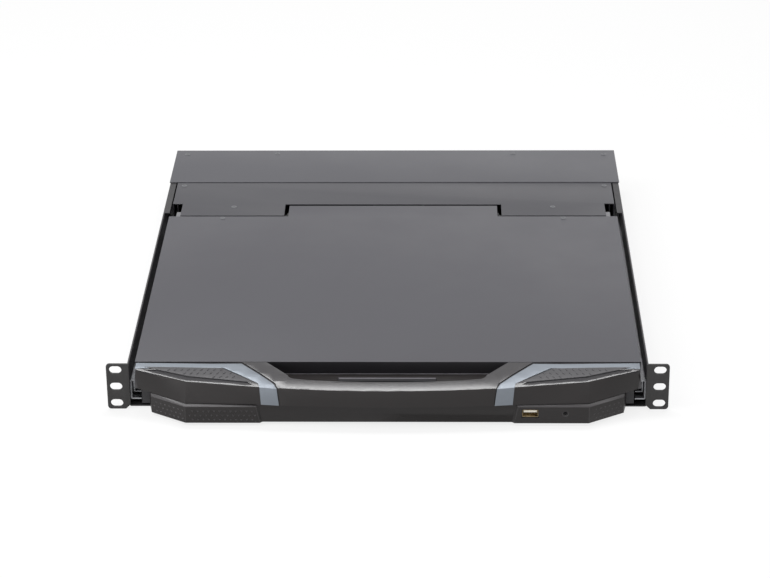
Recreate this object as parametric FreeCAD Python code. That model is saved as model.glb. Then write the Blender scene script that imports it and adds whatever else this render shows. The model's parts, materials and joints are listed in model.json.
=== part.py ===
"""Rackmount LCD console drawer, one rack unit high.

A sheet-metal chassis with rack ears holds a drawer on three-section ball slides. The drawer carries
a keyboard and a touchpad, and a hinged lid that holds the display. Millimetres, +X to the right,
+Y to the rear, +Z up. The origin is the centre of the rack hole pattern, on the ears' front face.
"""
import FreeCAD, Part
import math
import os

V = FreeCAD.Vector

# ---------------------------------------------------------------- driving sizes
# Rack standard and ears
rack_spacing_x = 465.1
rack_spacing_z = 31.75
slot_margin_x = 7.95
slot_margin_z = 5.625
ear_thickness = 2.0
ear_lap = 2.5
ear_corner_radius = 3.0
ear_chamfer = 4.0
ear_slot_length = 10.6
ear_slot_width = 7.0
ear_flange_depth = 42.0
ear_flange_margin = 2.5
ear_flange_drop = 12.6

# Chassis sheet metal
rail_gap = 9.05
chassis_depth = 480.0
chassis_drop = 0.9
chassis_front_y = 5.0
rear_bay_depth = 82.0
cover_gap = 0.5
chassis_sheet = 1.2
pan_bend_radius = 2.0
cover_overhang = 1.2
cover_side_lap = 0.8
cover_flange_drop = 6.0
top_flange_width = 6.0
top_flange_reach = 73.0

# Ball slides
slide_height = 18.6
slide_floor_gap = 3.5
slide_front_gap = 1.2
slide_rear_gap = 15.0
slide_overlap = 55.8
middle_recess = 7.0
inner_recess = 12.0
slide_depth = 9.0
slide_outer_sheet = 1.2
slide_inner_sheet = 1.0
ball_diameter = 2.0
ball_clearance = 0.1
cage_sheet = 0.4
cage_length = 150.0
cage_end_margin = 4.0
cage_width = 4.6
balls_per_row = 4
cage_web_gap = 0.15
slide_end_gap = 0.6
slide_tray_gap = 1.3

# Drawer tray
tray_sheet = 1.0
tray_front_y = 4.0
tray_floor_gap = 2.3
strip_tray_gap = 1.0
hinge_bay_margin = 1.7
cable_gate_width = 60.0
cable_gate_height = 12.0
cable_gate_sill = 4.0

# Keyboard deck, keys and touchpad
deck_sheet = 1.2
deck_swing_gap = 2.0
keyboard_margin = 20.0
key_gap = 1.0
key_height = 4.5
key_drop = 18.2
key_rise = 4.3
key_travel = 2.2
row_names = ["bottom", "lower", "home", "upper", "number", "function"]
row_widths = {
    "function": [1] * 15,
    "number": [1] * 13 + [2],
    "upper": [1.5] + [1] * 12 + [1.5],
    "home": [1.75] + [1] * 11 + [2.25],
    "lower": [2.25] + [1] * 10 + [1.75, 1],
    "bottom": [1.25, 1.25, 1.25, 5.25] + [1] * 6,
}
main_units = 15
nav_units = 1
pad_units = 4
key_taper = 1.6
key_rear_rake = 0.8
key_stem = 5.5
key_stem_clearance = 0.15
key_stem_reach = 1.9
guide_sheet = 1.2
guide_gap = 0.3
block_gap = 5.0
function_gap = 5.0
keys_front_y = 122.0
well_margin = 1.0
base_wall = 1.5
base_floor = 1.2
base_gap = 0.4
guide_rim = 5.0
touchpad_width = 82.0
touchpad_depth = 52.0
touchpad_centre_y = 66.0
touchpad_thickness = 1.4
button_depth = 15.0
button_travel = 1.0
touch_gap = 0.3

# Lower front bezel
front_seam_gap = 0.6
lower_drop = 1.0
lower_front_y = -28.0
lower_end_inset = 14.4
front_bend_inset = 45.4
pad_reach = 61.5
pad_slant = 3.7
usb_reach = 49.7
reset_reach = 20.0
lower_end_y = -10.0
lower_wall = 2.0
lower_chamfer = 1.2
lower_flare = 3.0
pad_proud = 2.0
usb_rise = 9.1
usb_width = 13.6
usb_height = 6.8
usb_wall = 0.4
usb_depth = 16.0
usb_recess = 0.9
usb_fit = 0.1
tongue_margin = 1.2
tongue_root = 4.0
tongue_recess = 1.5
tongue_rise = 0.2
tongue_thickness = 1.9
switch_width = 6.0
reset_radius = 1.4
reset_clearance = 0.08
reset_dish_radius = 2.5
reset_travel = 0.8
reset_length = 8.0
io_board_width = 58.0
io_board_depth = 20.0
io_board_gap = 1.0
io_post_radius = 2.5
board_sheet = 1.6

# Lid
lid_drop = 0.6
lid_front_y = 8.0
lid_side_gap = 5.1
lid_slide_gap = 1.2
lid_key_gap = 2.2
lid_lip = 1.5
lid_skin = 1.0
lid_seam_gap = 0.7
lid_seam_depth = 1.4
bump_wall = 1.5
bump_drop = 7.0
bump_reach = 12.5
notch_width = 4.0
frame_sheet = 2.0
frame_gap = 0.2
screen_side_gap = 0.6
screen_front_gap = 7.0
screen_border_x = 9.95
screen_border_y = 11.8
screen_glass = 1.6
screen_module = 9.0
window_bevel = 1.0
driver_board_width = 150.0
driver_board_depth = 34.0
driver_board_front_gap = 3.0
driver_board_rear_gap = 4.2
driver_board_gap = 1.3
osd_count = 5
osd_pitch = 16.0
osd_width = 9.0
osd_depth = 4.0
osd_clearance = 0.15
osd_proud = 0.5
osd_travel = 0.4

# Handle bezel of the lid
handle_slope = 0.205
handle_height = 21.0
crease_inset = 1.8
crease_end_y = -3.0
crease_bend_y = -18.5
crease_arc_x = 114.0
crease_arc_y = -25.0
crease_centre_y = -31.0
seam_flare = 0.2
seam_end_y = 0.0
seam_arc_x = 115.0
seam_arc_y = -30.0
seam_centre_y = -36.0
seam_margin = 0.2
rib_sheet = 1.5
rib_foot = 2.2
handle_wall = 2.5
handle_floor_plate = 1.5
pocket_half_rear = 104.0
pocket_half_front = 82.0
pocket_corner_y = -13.7
pocket_front_y = -17.6
pocket_depth = 11.3
pocket_wall = 2.0
pocket_corner_radius = 9.0
release_width = 84.0
release_depth = 5.4
release_y = -4.6
release_proud = 1.2
release_travel = 2.0
release_clearance = 0.2
release_flange = 1.2
release_lip = 1.5
blade_rear_x = 124.0
blade_corner_x = 139.6
blade_corner_y = -3.0
blade_tip_inner_x = 94.5
blade_tip_outer_x = 109.0
blade_tip_y = -21.5
blade_seam_inner_x = 88.5
blade_seam_outer_x = 104.6
blade_end_y = -2.0
blade_end_inset = 7.8
blade_margin = 1.0
grip_gap = 1.2
accent_depth = 0.7
accent_proud = 0.5
grip_proud = 0.2

# Hinges
hinge_drop = 8.0
strip_depth = 69.0
hinge_pin_radius = 3.0
hinge_pin_clearance = 0.05
hinge_barrel_radius = 6.0
hinge_foot = 2.0
hinge_cover_sheet = 1.0
strip_inset = 1.1
tab_inset = 9.7
tab_reach = 11.5
tab_swing_gap = 1.0
bump_swing_gap = 0.5
tab_inner_x = 105.0
outer_barrel_length = 12.0
inner_barrel_length = 12.0
barrel_tab_gap = 0.3
arm_thickness = 4.0
hinge_foot_reach = 11.0
bracket_post = 3.0
bracket_post_gap = 1.5
pin_collar = 1.5

# Rear electronics
rear_component_gap = 6.0
board_rear_gap = 5.8
supply_width = 110.0
supply_depth = 50.0
supply_height = 34.0
supply_wall_gap = 11.5
main_board_width = 250.0
main_board_x = 60.0
chip_size = 24.0
chip_height = 2.2
chip_inset_x = 60.0
chip_inset_y = 16.0
small_chip_size = 16.0
chip_gap = 26.0
header_depth = 6.0
header_height = 8.0
header_inset_y = 4.0
left_header_inset = 20.0
right_header_inset = 20.0
right_header_width = 30.0
can_radius = 4.0
can_height = 11.0
can_pitch = 12.0
can_inset_y = 30.0
standoff_height = 5.0
standoff_radius = 3.0
vga_x = 40.0
uplink_x = 90.0
socket_row_z = 0.0
inlet_wall_gap = 39.5
rocker_pitch = 22.0
inlet_width = 27.6
inlet_height = 19.8
inlet_flange_width = 31.0
inlet_flange_height = 24.0
inlet_flange = 2.0
inlet_body_depth = 20.0
inlet_cavity_width = 24.2
inlet_cavity_height = 16.6
inlet_cavity_depth = 15.0
inlet_corner = 5.0
inlet_pin_offset = 7.0
inlet_pin_height_offset = 2.0
inlet_pin_length = 12.0
rocker_width = 13.0
rocker_height = 19.8
rocker_wall = 1.2
rocker_depth = 14.0
rocker_swing = 6.0
rocker_tilt = 12.0
vga_width = 16.9
vga_height = 8.3
vga_flange_width = 30.8
vga_flange_height = 12.5
uplink_width = 12.0
uplink_height = 11.0
uplink_cavity_width = 8.6
uplink_cavity_height = 7.8
socket_depth = 14.0
socket_proud = 5.5

# ---------------------------------------------------------------- worked-out places
ear_span = rack_spacing_x + 2 * slot_margin_x
ear_height = rack_spacing_z + 2 * slot_margin_z
chassis_width = rack_spacing_x - 2 * rail_gap
chassis_height = ear_height - chassis_drop
chassis_half = chassis_width / 2
pan_bottom_z = -ear_height / 2
cover_top_z = pan_bottom_z + chassis_height
pan_half = chassis_half - cover_side_lap
pan_inner_x = pan_half - chassis_sheet
pan_floor_z = pan_bottom_z + chassis_sheet
pan_top_z = cover_top_z - chassis_sheet
panel_inner_y = chassis_depth - chassis_sheet
ear_inner_x = chassis_half - ear_lap

slide_wall_x = pan_inner_x
slide_front_y = lid_front_y + slide_front_gap
slide_length = chassis_depth - slide_rear_gap - slide_front_y
drawer_travel = slide_length - slide_overlap
slide_centre_z = pan_floor_z + slide_floor_gap + slide_height / 2
slide_rear_y = slide_front_y + slide_length
slide_top_z = slide_centre_z + slide_height / 2
outer_half = slide_height / 2
ball_gap = ball_diameter + 2 * ball_clearance
middle_half = outer_half - slide_outer_sheet - ball_gap
inner_half = middle_half - slide_inner_sheet - ball_gap
cage_gap = cage_sheet + 2 * cage_web_gap
middle_web_x = slide_wall_x - slide_outer_sheet - cage_gap
middle_edge_x = slide_wall_x - slide_depth + slide_end_gap
inner_cage_x = middle_web_x - slide_inner_sheet - cage_web_gap
inner_edge_x = middle_web_x - slide_inner_sheet - cage_gap
cage_front_y = slide_front_y + drawer_travel / 4 + cage_end_margin

lid_half_width = pan_inner_x - lid_side_gap
lid_top_z = cover_top_z - lid_drop
hinge_y = chassis_depth - rear_bay_depth - strip_depth
hinge_z = lid_top_z - hinge_drop
handle_bottom_z = lid_top_z - handle_height
pocket_floor_z = lid_top_z - pocket_depth
lid_under_z = lid_top_z - lid_skin
lid_wall_bottom_z = slide_top_z + lid_slide_gap
tab_swing = math.hypot(tab_reach, lid_top_z - hinge_z)
bump_swing = math.hypot(bump_reach, lid_top_z - hinge_z)
lid_wall_rear_y = hinge_y - tab_swing - tab_swing_gap
lid_rear_y = lid_wall_rear_y + lid_lip
tab_front_y = hinge_y - tab_reach
bump_half_width = tab_inner_x - notch_width
bump_rear_y = hinge_y + bump_reach
bump_bottom_z = hinge_z - bump_drop
hinge_cover_z = lid_top_z
hinge_cover_under_z = hinge_cover_z - hinge_cover_sheet
hinge_cover_half_width = lid_half_width - strip_inset
hinge_cover_front_y = hinge_y + bump_swing + bump_swing_gap
hinge_cover_rear_y = chassis_depth - rear_bay_depth
hinge_bay_y = hinge_cover_front_y + hinge_bay_margin
tab_outer_x = hinge_cover_half_width - tab_inset
cover_front_y = hinge_cover_rear_y + cover_gap

key_top_z = lid_top_z - key_drop
top_flange_front_y = chassis_depth - rear_bay_depth - top_flange_reach
tray_half_width = slide_wall_x - slide_depth - slide_tray_gap
tray_rear_y = hinge_cover_rear_y - hinge_cover_sheet - strip_tray_gap
tray_bottom_z = pan_floor_z + tray_floor_gap
tray_floor_z = tray_bottom_z + tray_sheet
deck_top_z = key_top_z - key_rise
deck_bottom_z = deck_top_z - deck_sheet
deck_rear_y = hinge_y - bump_swing - deck_swing_gap
key_units = main_units + nav_units + pad_units
keys_width = 2 * (tray_half_width - tray_sheet - keyboard_margin)
key_pitch = (keys_width - 2 * block_gap) / key_units
main_x0 = -keys_width / 2
nav_x0 = main_x0 + main_units * key_pitch + block_gap
pad_x0 = nav_x0 + nav_units * key_pitch + block_gap
key_bottom_z = key_top_z - key_height
guide_top_z = key_bottom_z - key_travel - guide_gap
guide_bottom_z = guide_top_z - guide_sheet
stem_bottom_z = guide_bottom_z - key_stem_reach

lower_bottom_z = tray_bottom_z - lower_drop
lower_top_z = handle_bottom_z - front_seam_gap
lower_end_x = lid_half_width - lower_end_inset
front_bend_x = lid_half_width - front_bend_inset
pad_inner_x = front_bend_x - pad_reach
usb_x = front_bend_x - usb_reach
reset_x = front_bend_x - reset_reach
usb_z = lower_bottom_z + usb_rise
io_board_x = (usb_x + reset_x) / 2
io_board_z = usb_z - usb_height / 2 - board_sheet
io_board_y = lower_front_y + lower_wall + io_board_depth / 2 + io_board_gap

frame_bottom_z = key_top_z + lid_key_gap
frame_top_z = frame_bottom_z + frame_sheet
frame_rear_y = lid_wall_rear_y - lid_skin - frame_gap
screen_front_y = lid_front_y + screen_front_gap
screen_width = 2 * (lid_half_width - lid_skin - screen_side_gap)
driver_board_y0 = frame_rear_y - frame_sheet - driver_board_rear_gap - driver_board_depth
screen_depth = driver_board_y0 - driver_board_front_gap - screen_front_y
window_width = screen_width - 2 * screen_border_x
window_depth = screen_depth - 2 * screen_border_y
osd_y = driver_board_y0 + driver_board_depth / 2
crease_points = [(lid_half_width - crease_inset, crease_end_y), (front_bend_x - 1, crease_bend_y),
                 (crease_arc_x, crease_arc_y)]
seam_points = [(lid_half_width + seam_flare, seam_end_y), (front_bend_x, lower_front_y),
               (seam_arc_x, seam_arc_y)]

rear_component_front_y = cover_front_y + rear_component_gap
supply_x = supply_wall_gap + supply_width / 2 - pan_inner_x
inlet_x = inlet_wall_gap - pan_inner_x
rocker_x = inlet_x + rocker_pitch
main_board_depth = panel_inner_y - rear_component_front_y - board_rear_gap

# ---------------------------------------------------------------- helpers
def block(x0, x1, y0, y1, z0, z1):
    """A box between two corners."""
    return Part.makeBox(x1 - x0, y1 - y0, z1 - z0, V(x0, y0, z0))


def plate(points, z0, z1):
    """A flat polygon of (x, y) points, from height z0 to z1."""
    corners = [V(x, y, z0) for x, y in points]
    face = Part.Face(Part.makePolygon(corners + corners[:1]))
    return face.extrude(V(0, 0, z1 - z0))


def section_y(points, y0, y1):
    """A polygon of (x, z) points drawn from y0 to y1."""
    corners = [V(x, y0, z) for x, z in points]
    face = Part.Face(Part.makePolygon(corners + corners[:1]))
    return face.extrude(V(0, y1 - y0, 0))


def section_x(points, x0, x1):
    """A polygon of (y, z) points drawn from x0 to x1."""
    corners = [V(x0, y, z) for y, z in points]
    face = Part.Face(Part.makePolygon(corners + corners[:1]))
    return face.extrude(V(x1 - x0, 0, 0))


def hexagon(x, y, radius, z0, z1):
    """A six-sided pillar."""
    turns = [math.radians(60 * side) for side in range(6)]
    corners = [(x + radius * math.cos(turn), y + radius * math.sin(turn)) for turn in turns]
    return plate(corners, z0, z1)


def mirrored(shape):
    """The same piece on the other side of the middle plane."""
    return shape.mirror(V(0, 0, 0), V(1, 0, 0))


def joined(shapes):
    """One solid from pieces that touch."""
    return shapes[0].multiFuse(shapes[1:]).removeSplitter()


def save(name, shape):
    """Write one sub-part and report what it holds."""
    shape.exportStep("parts/" + name + ".step")
    print(name, "solids", len(shape.Solids), "volume", round(shape.Volume))


def both_sides(right_shape):
    """A right-hand piece with its mirror image, as one group."""
    return Part.makeCompound([right_shape, mirrored(right_shape)])


def save_pair(name, right_shape):
    """Write a right-hand piece and its mirror image."""
    save("right_" + name, right_shape)
    save("left_" + name, mirrored(right_shape))


def edges_where(shape, test):
    """The straight edges whose two ends pass a test."""
    found = []
    for edge in shape.Edges:
        ends = [vertex.Point for vertex in edge.Vertexes]
        if len(ends) == 2 and test(ends[0], ends[1]):
            found.append(edge)
    return found


# ---------------------------------------------------------------- chassis
def chassis_pan():
    """A folded tray: floor, two side walls and a turned-in flange along each rear top edge."""
    outer = block(-pan_half, pan_half, chassis_front_y, panel_inner_y, pan_bottom_z, pan_top_z)
    long_edges = edges_where(outer, lambda a, b: abs(a.z - pan_bottom_z) < 0.01
                             and abs(b.z - pan_bottom_z) < 0.01 and abs(a.y - b.y) > 1)
    outer = outer.makeFillet(pan_bend_radius, long_edges)
    inner = block(-pan_inner_x, pan_inner_x, chassis_front_y - 1, chassis_depth + 1,
                  pan_floor_z, pan_top_z + 1)
    pan = outer.cut(inner)
    flange = block(pan_half - top_flange_width, pan_inner_x, top_flange_front_y, panel_inner_y,
                   pan_top_z - chassis_sheet, pan_top_z)
    return joined([pan, flange, mirrored(flange)] + board_standoffs())


def rear_cover():
    """The fixed lid over the rear electronics, with a flange turned down behind the rear panel."""
    top = block(-chassis_half, chassis_half, cover_front_y, chassis_depth + cover_overhang,
                pan_top_z, cover_top_z)
    drop = block(-chassis_half, chassis_half, chassis_depth, chassis_depth + cover_overhang,
                 pan_top_z - cover_flange_drop, pan_top_z)
    return joined([top, drop])


def rear_panel():
    """The rear wall, with cut-outs for the inlet, the switch and the two sockets."""
    panel = block(-pan_half, pan_half, panel_inner_y, chassis_depth, pan_bottom_z, pan_top_z)
    for shape in (inlet_body_block(), rocker_body_block(), vga_body_block(), uplink_body_block()):
        panel = panel.cut(shape)
    return panel


def rack_ear():
    """The right-hand ear: a slotted front plate with a flange along the chassis side."""
    half_height = ear_height / 2
    outer_x = ear_span / 2
    front = section_y([(ear_inner_x + ear_chamfer, -half_height), (outer_x, -half_height),
                     (outer_x, half_height), (ear_inner_x, half_height),
                     (ear_inner_x, -half_height + ear_chamfer)], 0, ear_thickness)
    corners = edges_where(front, lambda a, b: abs(a.x - outer_x) < 0.01 and abs(b.x - outer_x) < 0.01
                          and abs(a.z - b.z) < 0.01)
    front = front.makeFillet(ear_corner_radius, corners)
    flange = block(pan_half, pan_half + ear_thickness, 0, ear_flange_depth,
                   -half_height + ear_flange_margin, cover_top_z - ear_flange_drop)
    ear = joined([front, flange])
    for row in (-1, 0, 1):
        ear = ear.cut(ear_slot(row * rack_spacing_z / 2))
    return ear


def ear_slot(z):
    """One horizontal rack slot with round ends."""
    radius = ear_slot_width / 2
    reach = ear_slot_length / 2 - radius
    centre = rack_spacing_x / 2
    ends = [Part.makeCylinder(radius, 3 * ear_thickness, V(centre + side * reach, -ear_thickness, z),
                              V(0, 1, 0)) for side in (-1, 1)]
    middle = block(centre - reach, centre + reach, -ear_thickness, 2 * ear_thickness,
                   z - radius, z + radius)
    return joined([middle] + ends)


# ---------------------------------------------------------------- ball slides
def channel(web_x, edge_x, half, sheet, front_y):
    """A slide member: a C section whose open side faces the drawer."""
    z = slide_centre_z
    points = [(web_x, z - half), (web_x, z + half), (edge_x, z + half), (edge_x, z + half - sheet),
              (web_x - sheet, z + half - sheet), (web_x - sheet, z - half + sheet),
              (edge_x, z - half + sheet), (edge_x, z - half)]
    shape = section_y(points, front_y, slide_rear_y)
    corners = edges_where(shape, lambda a, b: abs(a.y - b.y) > 1 and abs(a.x - web_x) < 0.01
                          and abs(abs(a.z - z) - half) < 0.01)
    return shape.makeFillet(sheet * 0.8, corners)


def slide_inner():
    """The drawer member: a C section open to the outside, whose web lies on the tray wall."""
    z = slide_centre_z
    sheet = slide_inner_sheet
    web = tray_half_width
    points = [(web, z - inner_half), (web, z + inner_half), (inner_edge_x, z + inner_half),
              (inner_edge_x, z + inner_half - sheet), (web + sheet, z + inner_half - sheet),
              (web + sheet, z - inner_half + sheet), (inner_edge_x, z - inner_half + sheet),
              (inner_edge_x, z - inner_half)]
    return section_y(points, slide_front_y + inner_recess, tray_rear_y - slide_front_y)


def ball_cage(web_x, half, front_y):
    """A folded retainer with a row of balls above and below, between two slide members."""
    z = slide_centre_z
    lip = half + ball_gap / 2
    edge_x = web_x - cage_width
    thin = cage_sheet
    points = [(web_x, z - lip - thin / 2), (web_x, z + lip + thin / 2), (edge_x, z + lip + thin / 2),
              (edge_x, z + lip - thin / 2), (web_x - thin, z + lip - thin / 2),
              (web_x - thin, z - lip + thin / 2), (edge_x, z - lip + thin / 2),
              (edge_x, z - lip - thin / 2)]
    retainer = section_y(points, front_y, front_y + cage_length)
    balls = []
    pitch = cage_length / balls_per_row
    ball_x = web_x - thin - (cage_width - thin) / 2
    for index in range(balls_per_row):
        for side in (-1, 1):
            place = V(ball_x, front_y + (index + 0.5) * pitch, z + side * lip)
            reach = ball_diameter / 2 + ball_clearance
            window = block(place.x - reach, place.x + reach, place.y - reach, place.y + reach,
                           place.z - 2 * thin, place.z + 2 * thin)
            retainer = retainer.cut(window)
            balls.append(ball(place))
    return Part.makeCompound([retainer] + balls)


def ball(centre):
    """A slide ball, drawn with few flat facets because there are many."""
    radius = ball_diameter / 2
    rings = []
    for level in (-60, -20, 20, 60):
        ring = radius * math.cos(math.radians(level))
        height = centre.z + radius * math.sin(math.radians(level))
        rings.append([V(centre.x + ring * math.cos(math.radians(45 * turn)),
                        centre.y + ring * math.sin(math.radians(45 * turn)), height) for turn in range(8)])
    faces = [Part.Face(Part.makePolygon(rings[0] + rings[0][:1])),
             Part.Face(Part.makePolygon(rings[-1] + rings[-1][:1]))]
    for low, high in zip(rings[:-1], rings[1:]):
        for turn in range(8):
            after = (turn + 1) % 8
            faces.append(flat_face([low[turn], low[after], high[after], high[turn]]))
    return closed_solid(faces)


def outer_ball_cage():
    """The retainer between the fixed and the middle members, a quarter of the travel behind the front."""
    return ball_cage(slide_wall_x - slide_outer_sheet - cage_web_gap, middle_half, cage_front_y)


def inner_ball_cage():
    """The retainer between the middle and the drawer members."""
    return ball_cage(inner_cage_x, inner_half, cage_front_y)


# ---------------------------------------------------------------- drawer tray
def drawer_tray():
    """A folded tray, low beside the keyboard and full height round the hinge bay at the rear."""
    floor = block(-tray_half_width, tray_half_width, tray_front_y, tray_rear_y,
                  tray_bottom_z, tray_floor_z)
    front = block(-tray_half_width, tray_half_width, tray_front_y, tray_front_y + tray_sheet,
                  tray_floor_z, deck_bottom_z)
    rear = block(-tray_half_width, tray_half_width, tray_rear_y - tray_sheet, tray_rear_y,
                 tray_floor_z, hinge_cover_under_z)
    side = section_x([(tray_front_y, tray_floor_z), (tray_rear_y, tray_floor_z),
                      (tray_rear_y, hinge_cover_under_z), (hinge_bay_y, hinge_cover_under_z),
                      (hinge_bay_y, deck_bottom_z), (tray_front_y, deck_bottom_z)],
                     tray_half_width - tray_sheet, tray_half_width)
    cable_gate = block(-cable_gate_width / 2, cable_gate_width / 2, tray_rear_y - 2 * tray_sheet,
                       tray_rear_y + tray_sheet, tray_floor_z + cable_gate_sill,
                       tray_floor_z + cable_gate_sill + cable_gate_height)
    return joined([floor, front, rear, side, mirrored(side)]).cut(cable_gate)


def keyboard_deck():
    """The top plate of the drawer, with wells for the key blocks and the touchpad."""
    deck = block(-tray_half_width, tray_half_width, tray_front_y, deck_rear_y,
                 deck_bottom_z, deck_top_z)
    skirt = block(-tray_half_width + tray_sheet, tray_half_width - tray_sheet,
                  deck_rear_y - deck_sheet, deck_rear_y, tray_floor_z, deck_bottom_z)
    deck = joined([deck, skirt])
    for x0, x1, y0, y1 in key_wells():
        deck = deck.cut(block(x0, x1, y0, y1, deck_bottom_z - 1, deck_top_z + 1))
    half = touchpad_width / 2 + touch_gap
    pad_front = touchpad_centre_y - touchpad_depth / 2 - 2 * touch_gap - button_depth
    pad_rear = touchpad_centre_y + touchpad_depth / 2 + touch_gap
    return deck.cut(block(-half, half, pad_front, pad_rear, deck_bottom_z - 1, deck_top_z + 1))


def touch_frame():
    """The cradle under the touchpad and its buttons, hung below the deck."""
    half = touchpad_width / 2 + touch_gap
    front = touchpad_centre_y - touchpad_depth / 2 - 2 * touch_gap - button_depth
    rear = touchpad_centre_y + touchpad_depth / 2 + touch_gap
    rim = 4.0
    depth = touchpad_thickness + button_travel + touch_gap
    body = block(-half - rim, half + rim, front - rim, rear + rim,
                 deck_bottom_z - depth, deck_bottom_z)
    pad_seat = block(-half, half, front + button_depth + touch_gap, rear,
                     deck_top_z - touchpad_thickness, deck_bottom_z + 1)
    button_seat = block(-half, half, front, front + button_depth + touch_gap,
                        deck_top_z - touchpad_thickness - button_travel - touch_gap, deck_bottom_z + 1)
    return body.cut(pad_seat).cut(button_seat)


def touchpad():
    """The pad surface, flush with the deck."""
    half = touchpad_width / 2
    return block(-half, half, touchpad_centre_y - touchpad_depth / 2,
                 touchpad_centre_y + touchpad_depth / 2, deck_top_z - touchpad_thickness, deck_top_z)


def touch_button():
    """The right-hand click button in front of the pad."""
    rear = touchpad_centre_y - touchpad_depth / 2 - touch_gap
    button = block(touch_gap / 2, touchpad_width / 2, rear - button_depth, rear,
                   deck_top_z - touchpad_thickness, deck_top_z)
    front_edges = edges_where(button, lambda a, b: abs(a.z - deck_top_z) < 0.01
                              and abs(b.z - deck_top_z) < 0.01 and a.y < rear - 1 and b.y < rear - 1)
    return button.makeChamfer(0.5, front_edges)


# ---------------------------------------------------------------- keyboard
def row_y(row):
    """The front edge of a row, counted from the front, with the function row set back."""
    setback = function_gap if row == len(row_names) - 1 else 0
    return keys_front_y + row * key_pitch + setback


def keys_rear_y():
    """The rear edge of the last row."""
    return row_y(len(row_names) - 1) + key_pitch


def row_cells(row):
    """The cells (x0, x1, y0, y1) of one row of the main block."""
    cells = []
    x = main_x0
    for width in row_widths[row_names[row]]:
        cells.append((x, x + width * key_pitch, row_y(row), row_y(row) + key_pitch))
        x += width * key_pitch
    return cells


def space_index():
    """Where the space bar stands in the bottom row."""
    widths = row_widths["bottom"]
    return widths.index(max(widths))


def navigation_cells():
    """One column of keys between the main block and the number pad."""
    return [(nav_x0, nav_x0 + key_pitch, row_y(row), row_y(row) + key_pitch)
            for row in range(len(row_names))]


def numpad_cells():
    """Four columns, with a double-width zero and two double-height keys on the right."""
    cells = []
    for row in range(len(row_names)):
        for column in range(pad_units):
            x0 = pad_x0 + column * key_pitch
            x1 = x0 + key_pitch
            y0 = row_y(row)
            y1 = y0 + key_pitch
            last = column == pad_units - 1
            if row == 0 and column == 1:
                continue
            if row == 0 and column == 0:
                x1 += key_pitch
            if last and row in (1, 3):
                continue
            if last and row in (0, 2):
                y1 += key_pitch
            cells.append((x0, x1, y0, y1))
    return cells


def flat_face(corners):
    """A flat face through its corners."""
    return Part.Face(Part.makePolygon(corners + corners[:1]))


def closed_solid(faces):
    """A solid from flat faces that close, with its outside facing out."""
    solid = Part.makeSolid(Part.makeShell(faces))
    return solid if solid.Volume > 0 else solid.reversed()


def rectangle_corners(x0, x1, y0, y1, z):
    """The corners of a rectangle at one height."""
    return [V(x0, y0, z), V(x1, y0, z), V(x1, y1, z), V(x0, y1, z)]


def frustum(low, high):
    """A tapered block between two rectangles."""
    sides = [flat_face([low[i], low[(i + 1) % 4], high[(i + 1) % 4], high[i]]) for i in range(4)]
    return closed_solid([flat_face(low), flat_face(high)] + sides)


def key(cell):
    """One tapered key cap with a square stem under it."""
    x0, x1, y0, y1 = cell
    gap = key_gap / 2
    foot = rectangle_corners(x0 + gap, x1 - gap, y0 + gap, y1 - gap, key_bottom_z)
    top = rectangle_corners(x0 + gap + key_taper, x1 - gap - key_taper, y0 + gap + key_taper + key_rear_rake,
                            y1 - gap - key_taper + key_rear_rake, key_top_z)
    return joined([frustum(foot, top), stem(cell, key_stem, stem_bottom_z, key_bottom_z)])


def stem(cell, side, z0, z1):
    """A square post under the middle of a key cell."""
    x0, x1, y0, y1 = cell
    x = (x0 + x1) / 2
    y = (y0 + y1) / 2
    return block(x - side / 2, x + side / 2, y - side / 2, y + side / 2, z0, z1)


def key_group(cells):
    """Keys that share one node."""
    return Part.makeCompound([key(cell) for cell in cells])


def all_cells():
    """Every key cell of the keyboard."""
    cells = []
    for row in range(len(row_names)):
        cells += row_cells(row)
    return cells + navigation_cells() + numpad_cells()


def key_wells():
    """The openings in the deck: main block, function row, column and pad, each with its margin."""
    main_rows = (row_y(0), row_y(len(row_names) - 2) + key_pitch)
    function_row = (row_y(len(row_names) - 1), keys_rear_y())
    blocks = [(main_x0, main_x0 + main_units * key_pitch), (nav_x0, nav_x0 + nav_units * key_pitch),
              (pad_x0, pad_x0 + pad_units * key_pitch)]
    return [(x0 - well_margin, x1 + well_margin, y0 - well_margin, y1 + well_margin)
            for x0, x1 in blocks for y0, y1 in (main_rows, function_row)]


def key_guide_plate():
    """The sheet that the key stems slide in."""
    guide = block(-keys_width / 2 - guide_rim, keys_width / 2 + guide_rim, keys_front_y - guide_rim,
                  keys_rear_y() + guide_rim, guide_bottom_z, guide_top_z)
    side = key_stem + 2 * key_stem_clearance
    holes = [stem(cell, side, guide_bottom_z - 1, guide_top_z + 1) for cell in all_cells()]
    return guide.cut(Part.makeCompound(holes))


def keyboard_base():
    """The open box under the keys: a floor below the stems, walls up to the guide plate, feet below."""
    floor_top = stem_bottom_z - key_travel - base_gap
    x = keys_width / 2 + guide_rim
    y0 = keys_front_y - guide_rim
    y1 = keys_rear_y() + guide_rim
    outer = block(-x, x, y0, y1, floor_top - base_floor, guide_bottom_z)
    inner = block(-x + base_wall, x - base_wall, y0 + base_wall, y1 - base_wall,
                  floor_top, guide_bottom_z + 1)
    rim = block(-x, x, y0, y1, guide_top_z, deck_bottom_z)
    rim_hole = block(-x + base_wall, x - base_wall, y0 + base_wall, y1 - base_wall,
                     guide_top_z - 1, deck_bottom_z + 1)
    seat = block(-x, x, y0, y0 + base_wall, tray_floor_z, floor_top - base_floor)
    rear_seat = block(-x, x, y1 - base_wall, y1, tray_floor_z, floor_top - base_floor)
    tub = joined([outer.cut(inner), seat, rear_seat])
    return Part.makeCompound([tub, rim.cut(rim_hole)])


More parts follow.
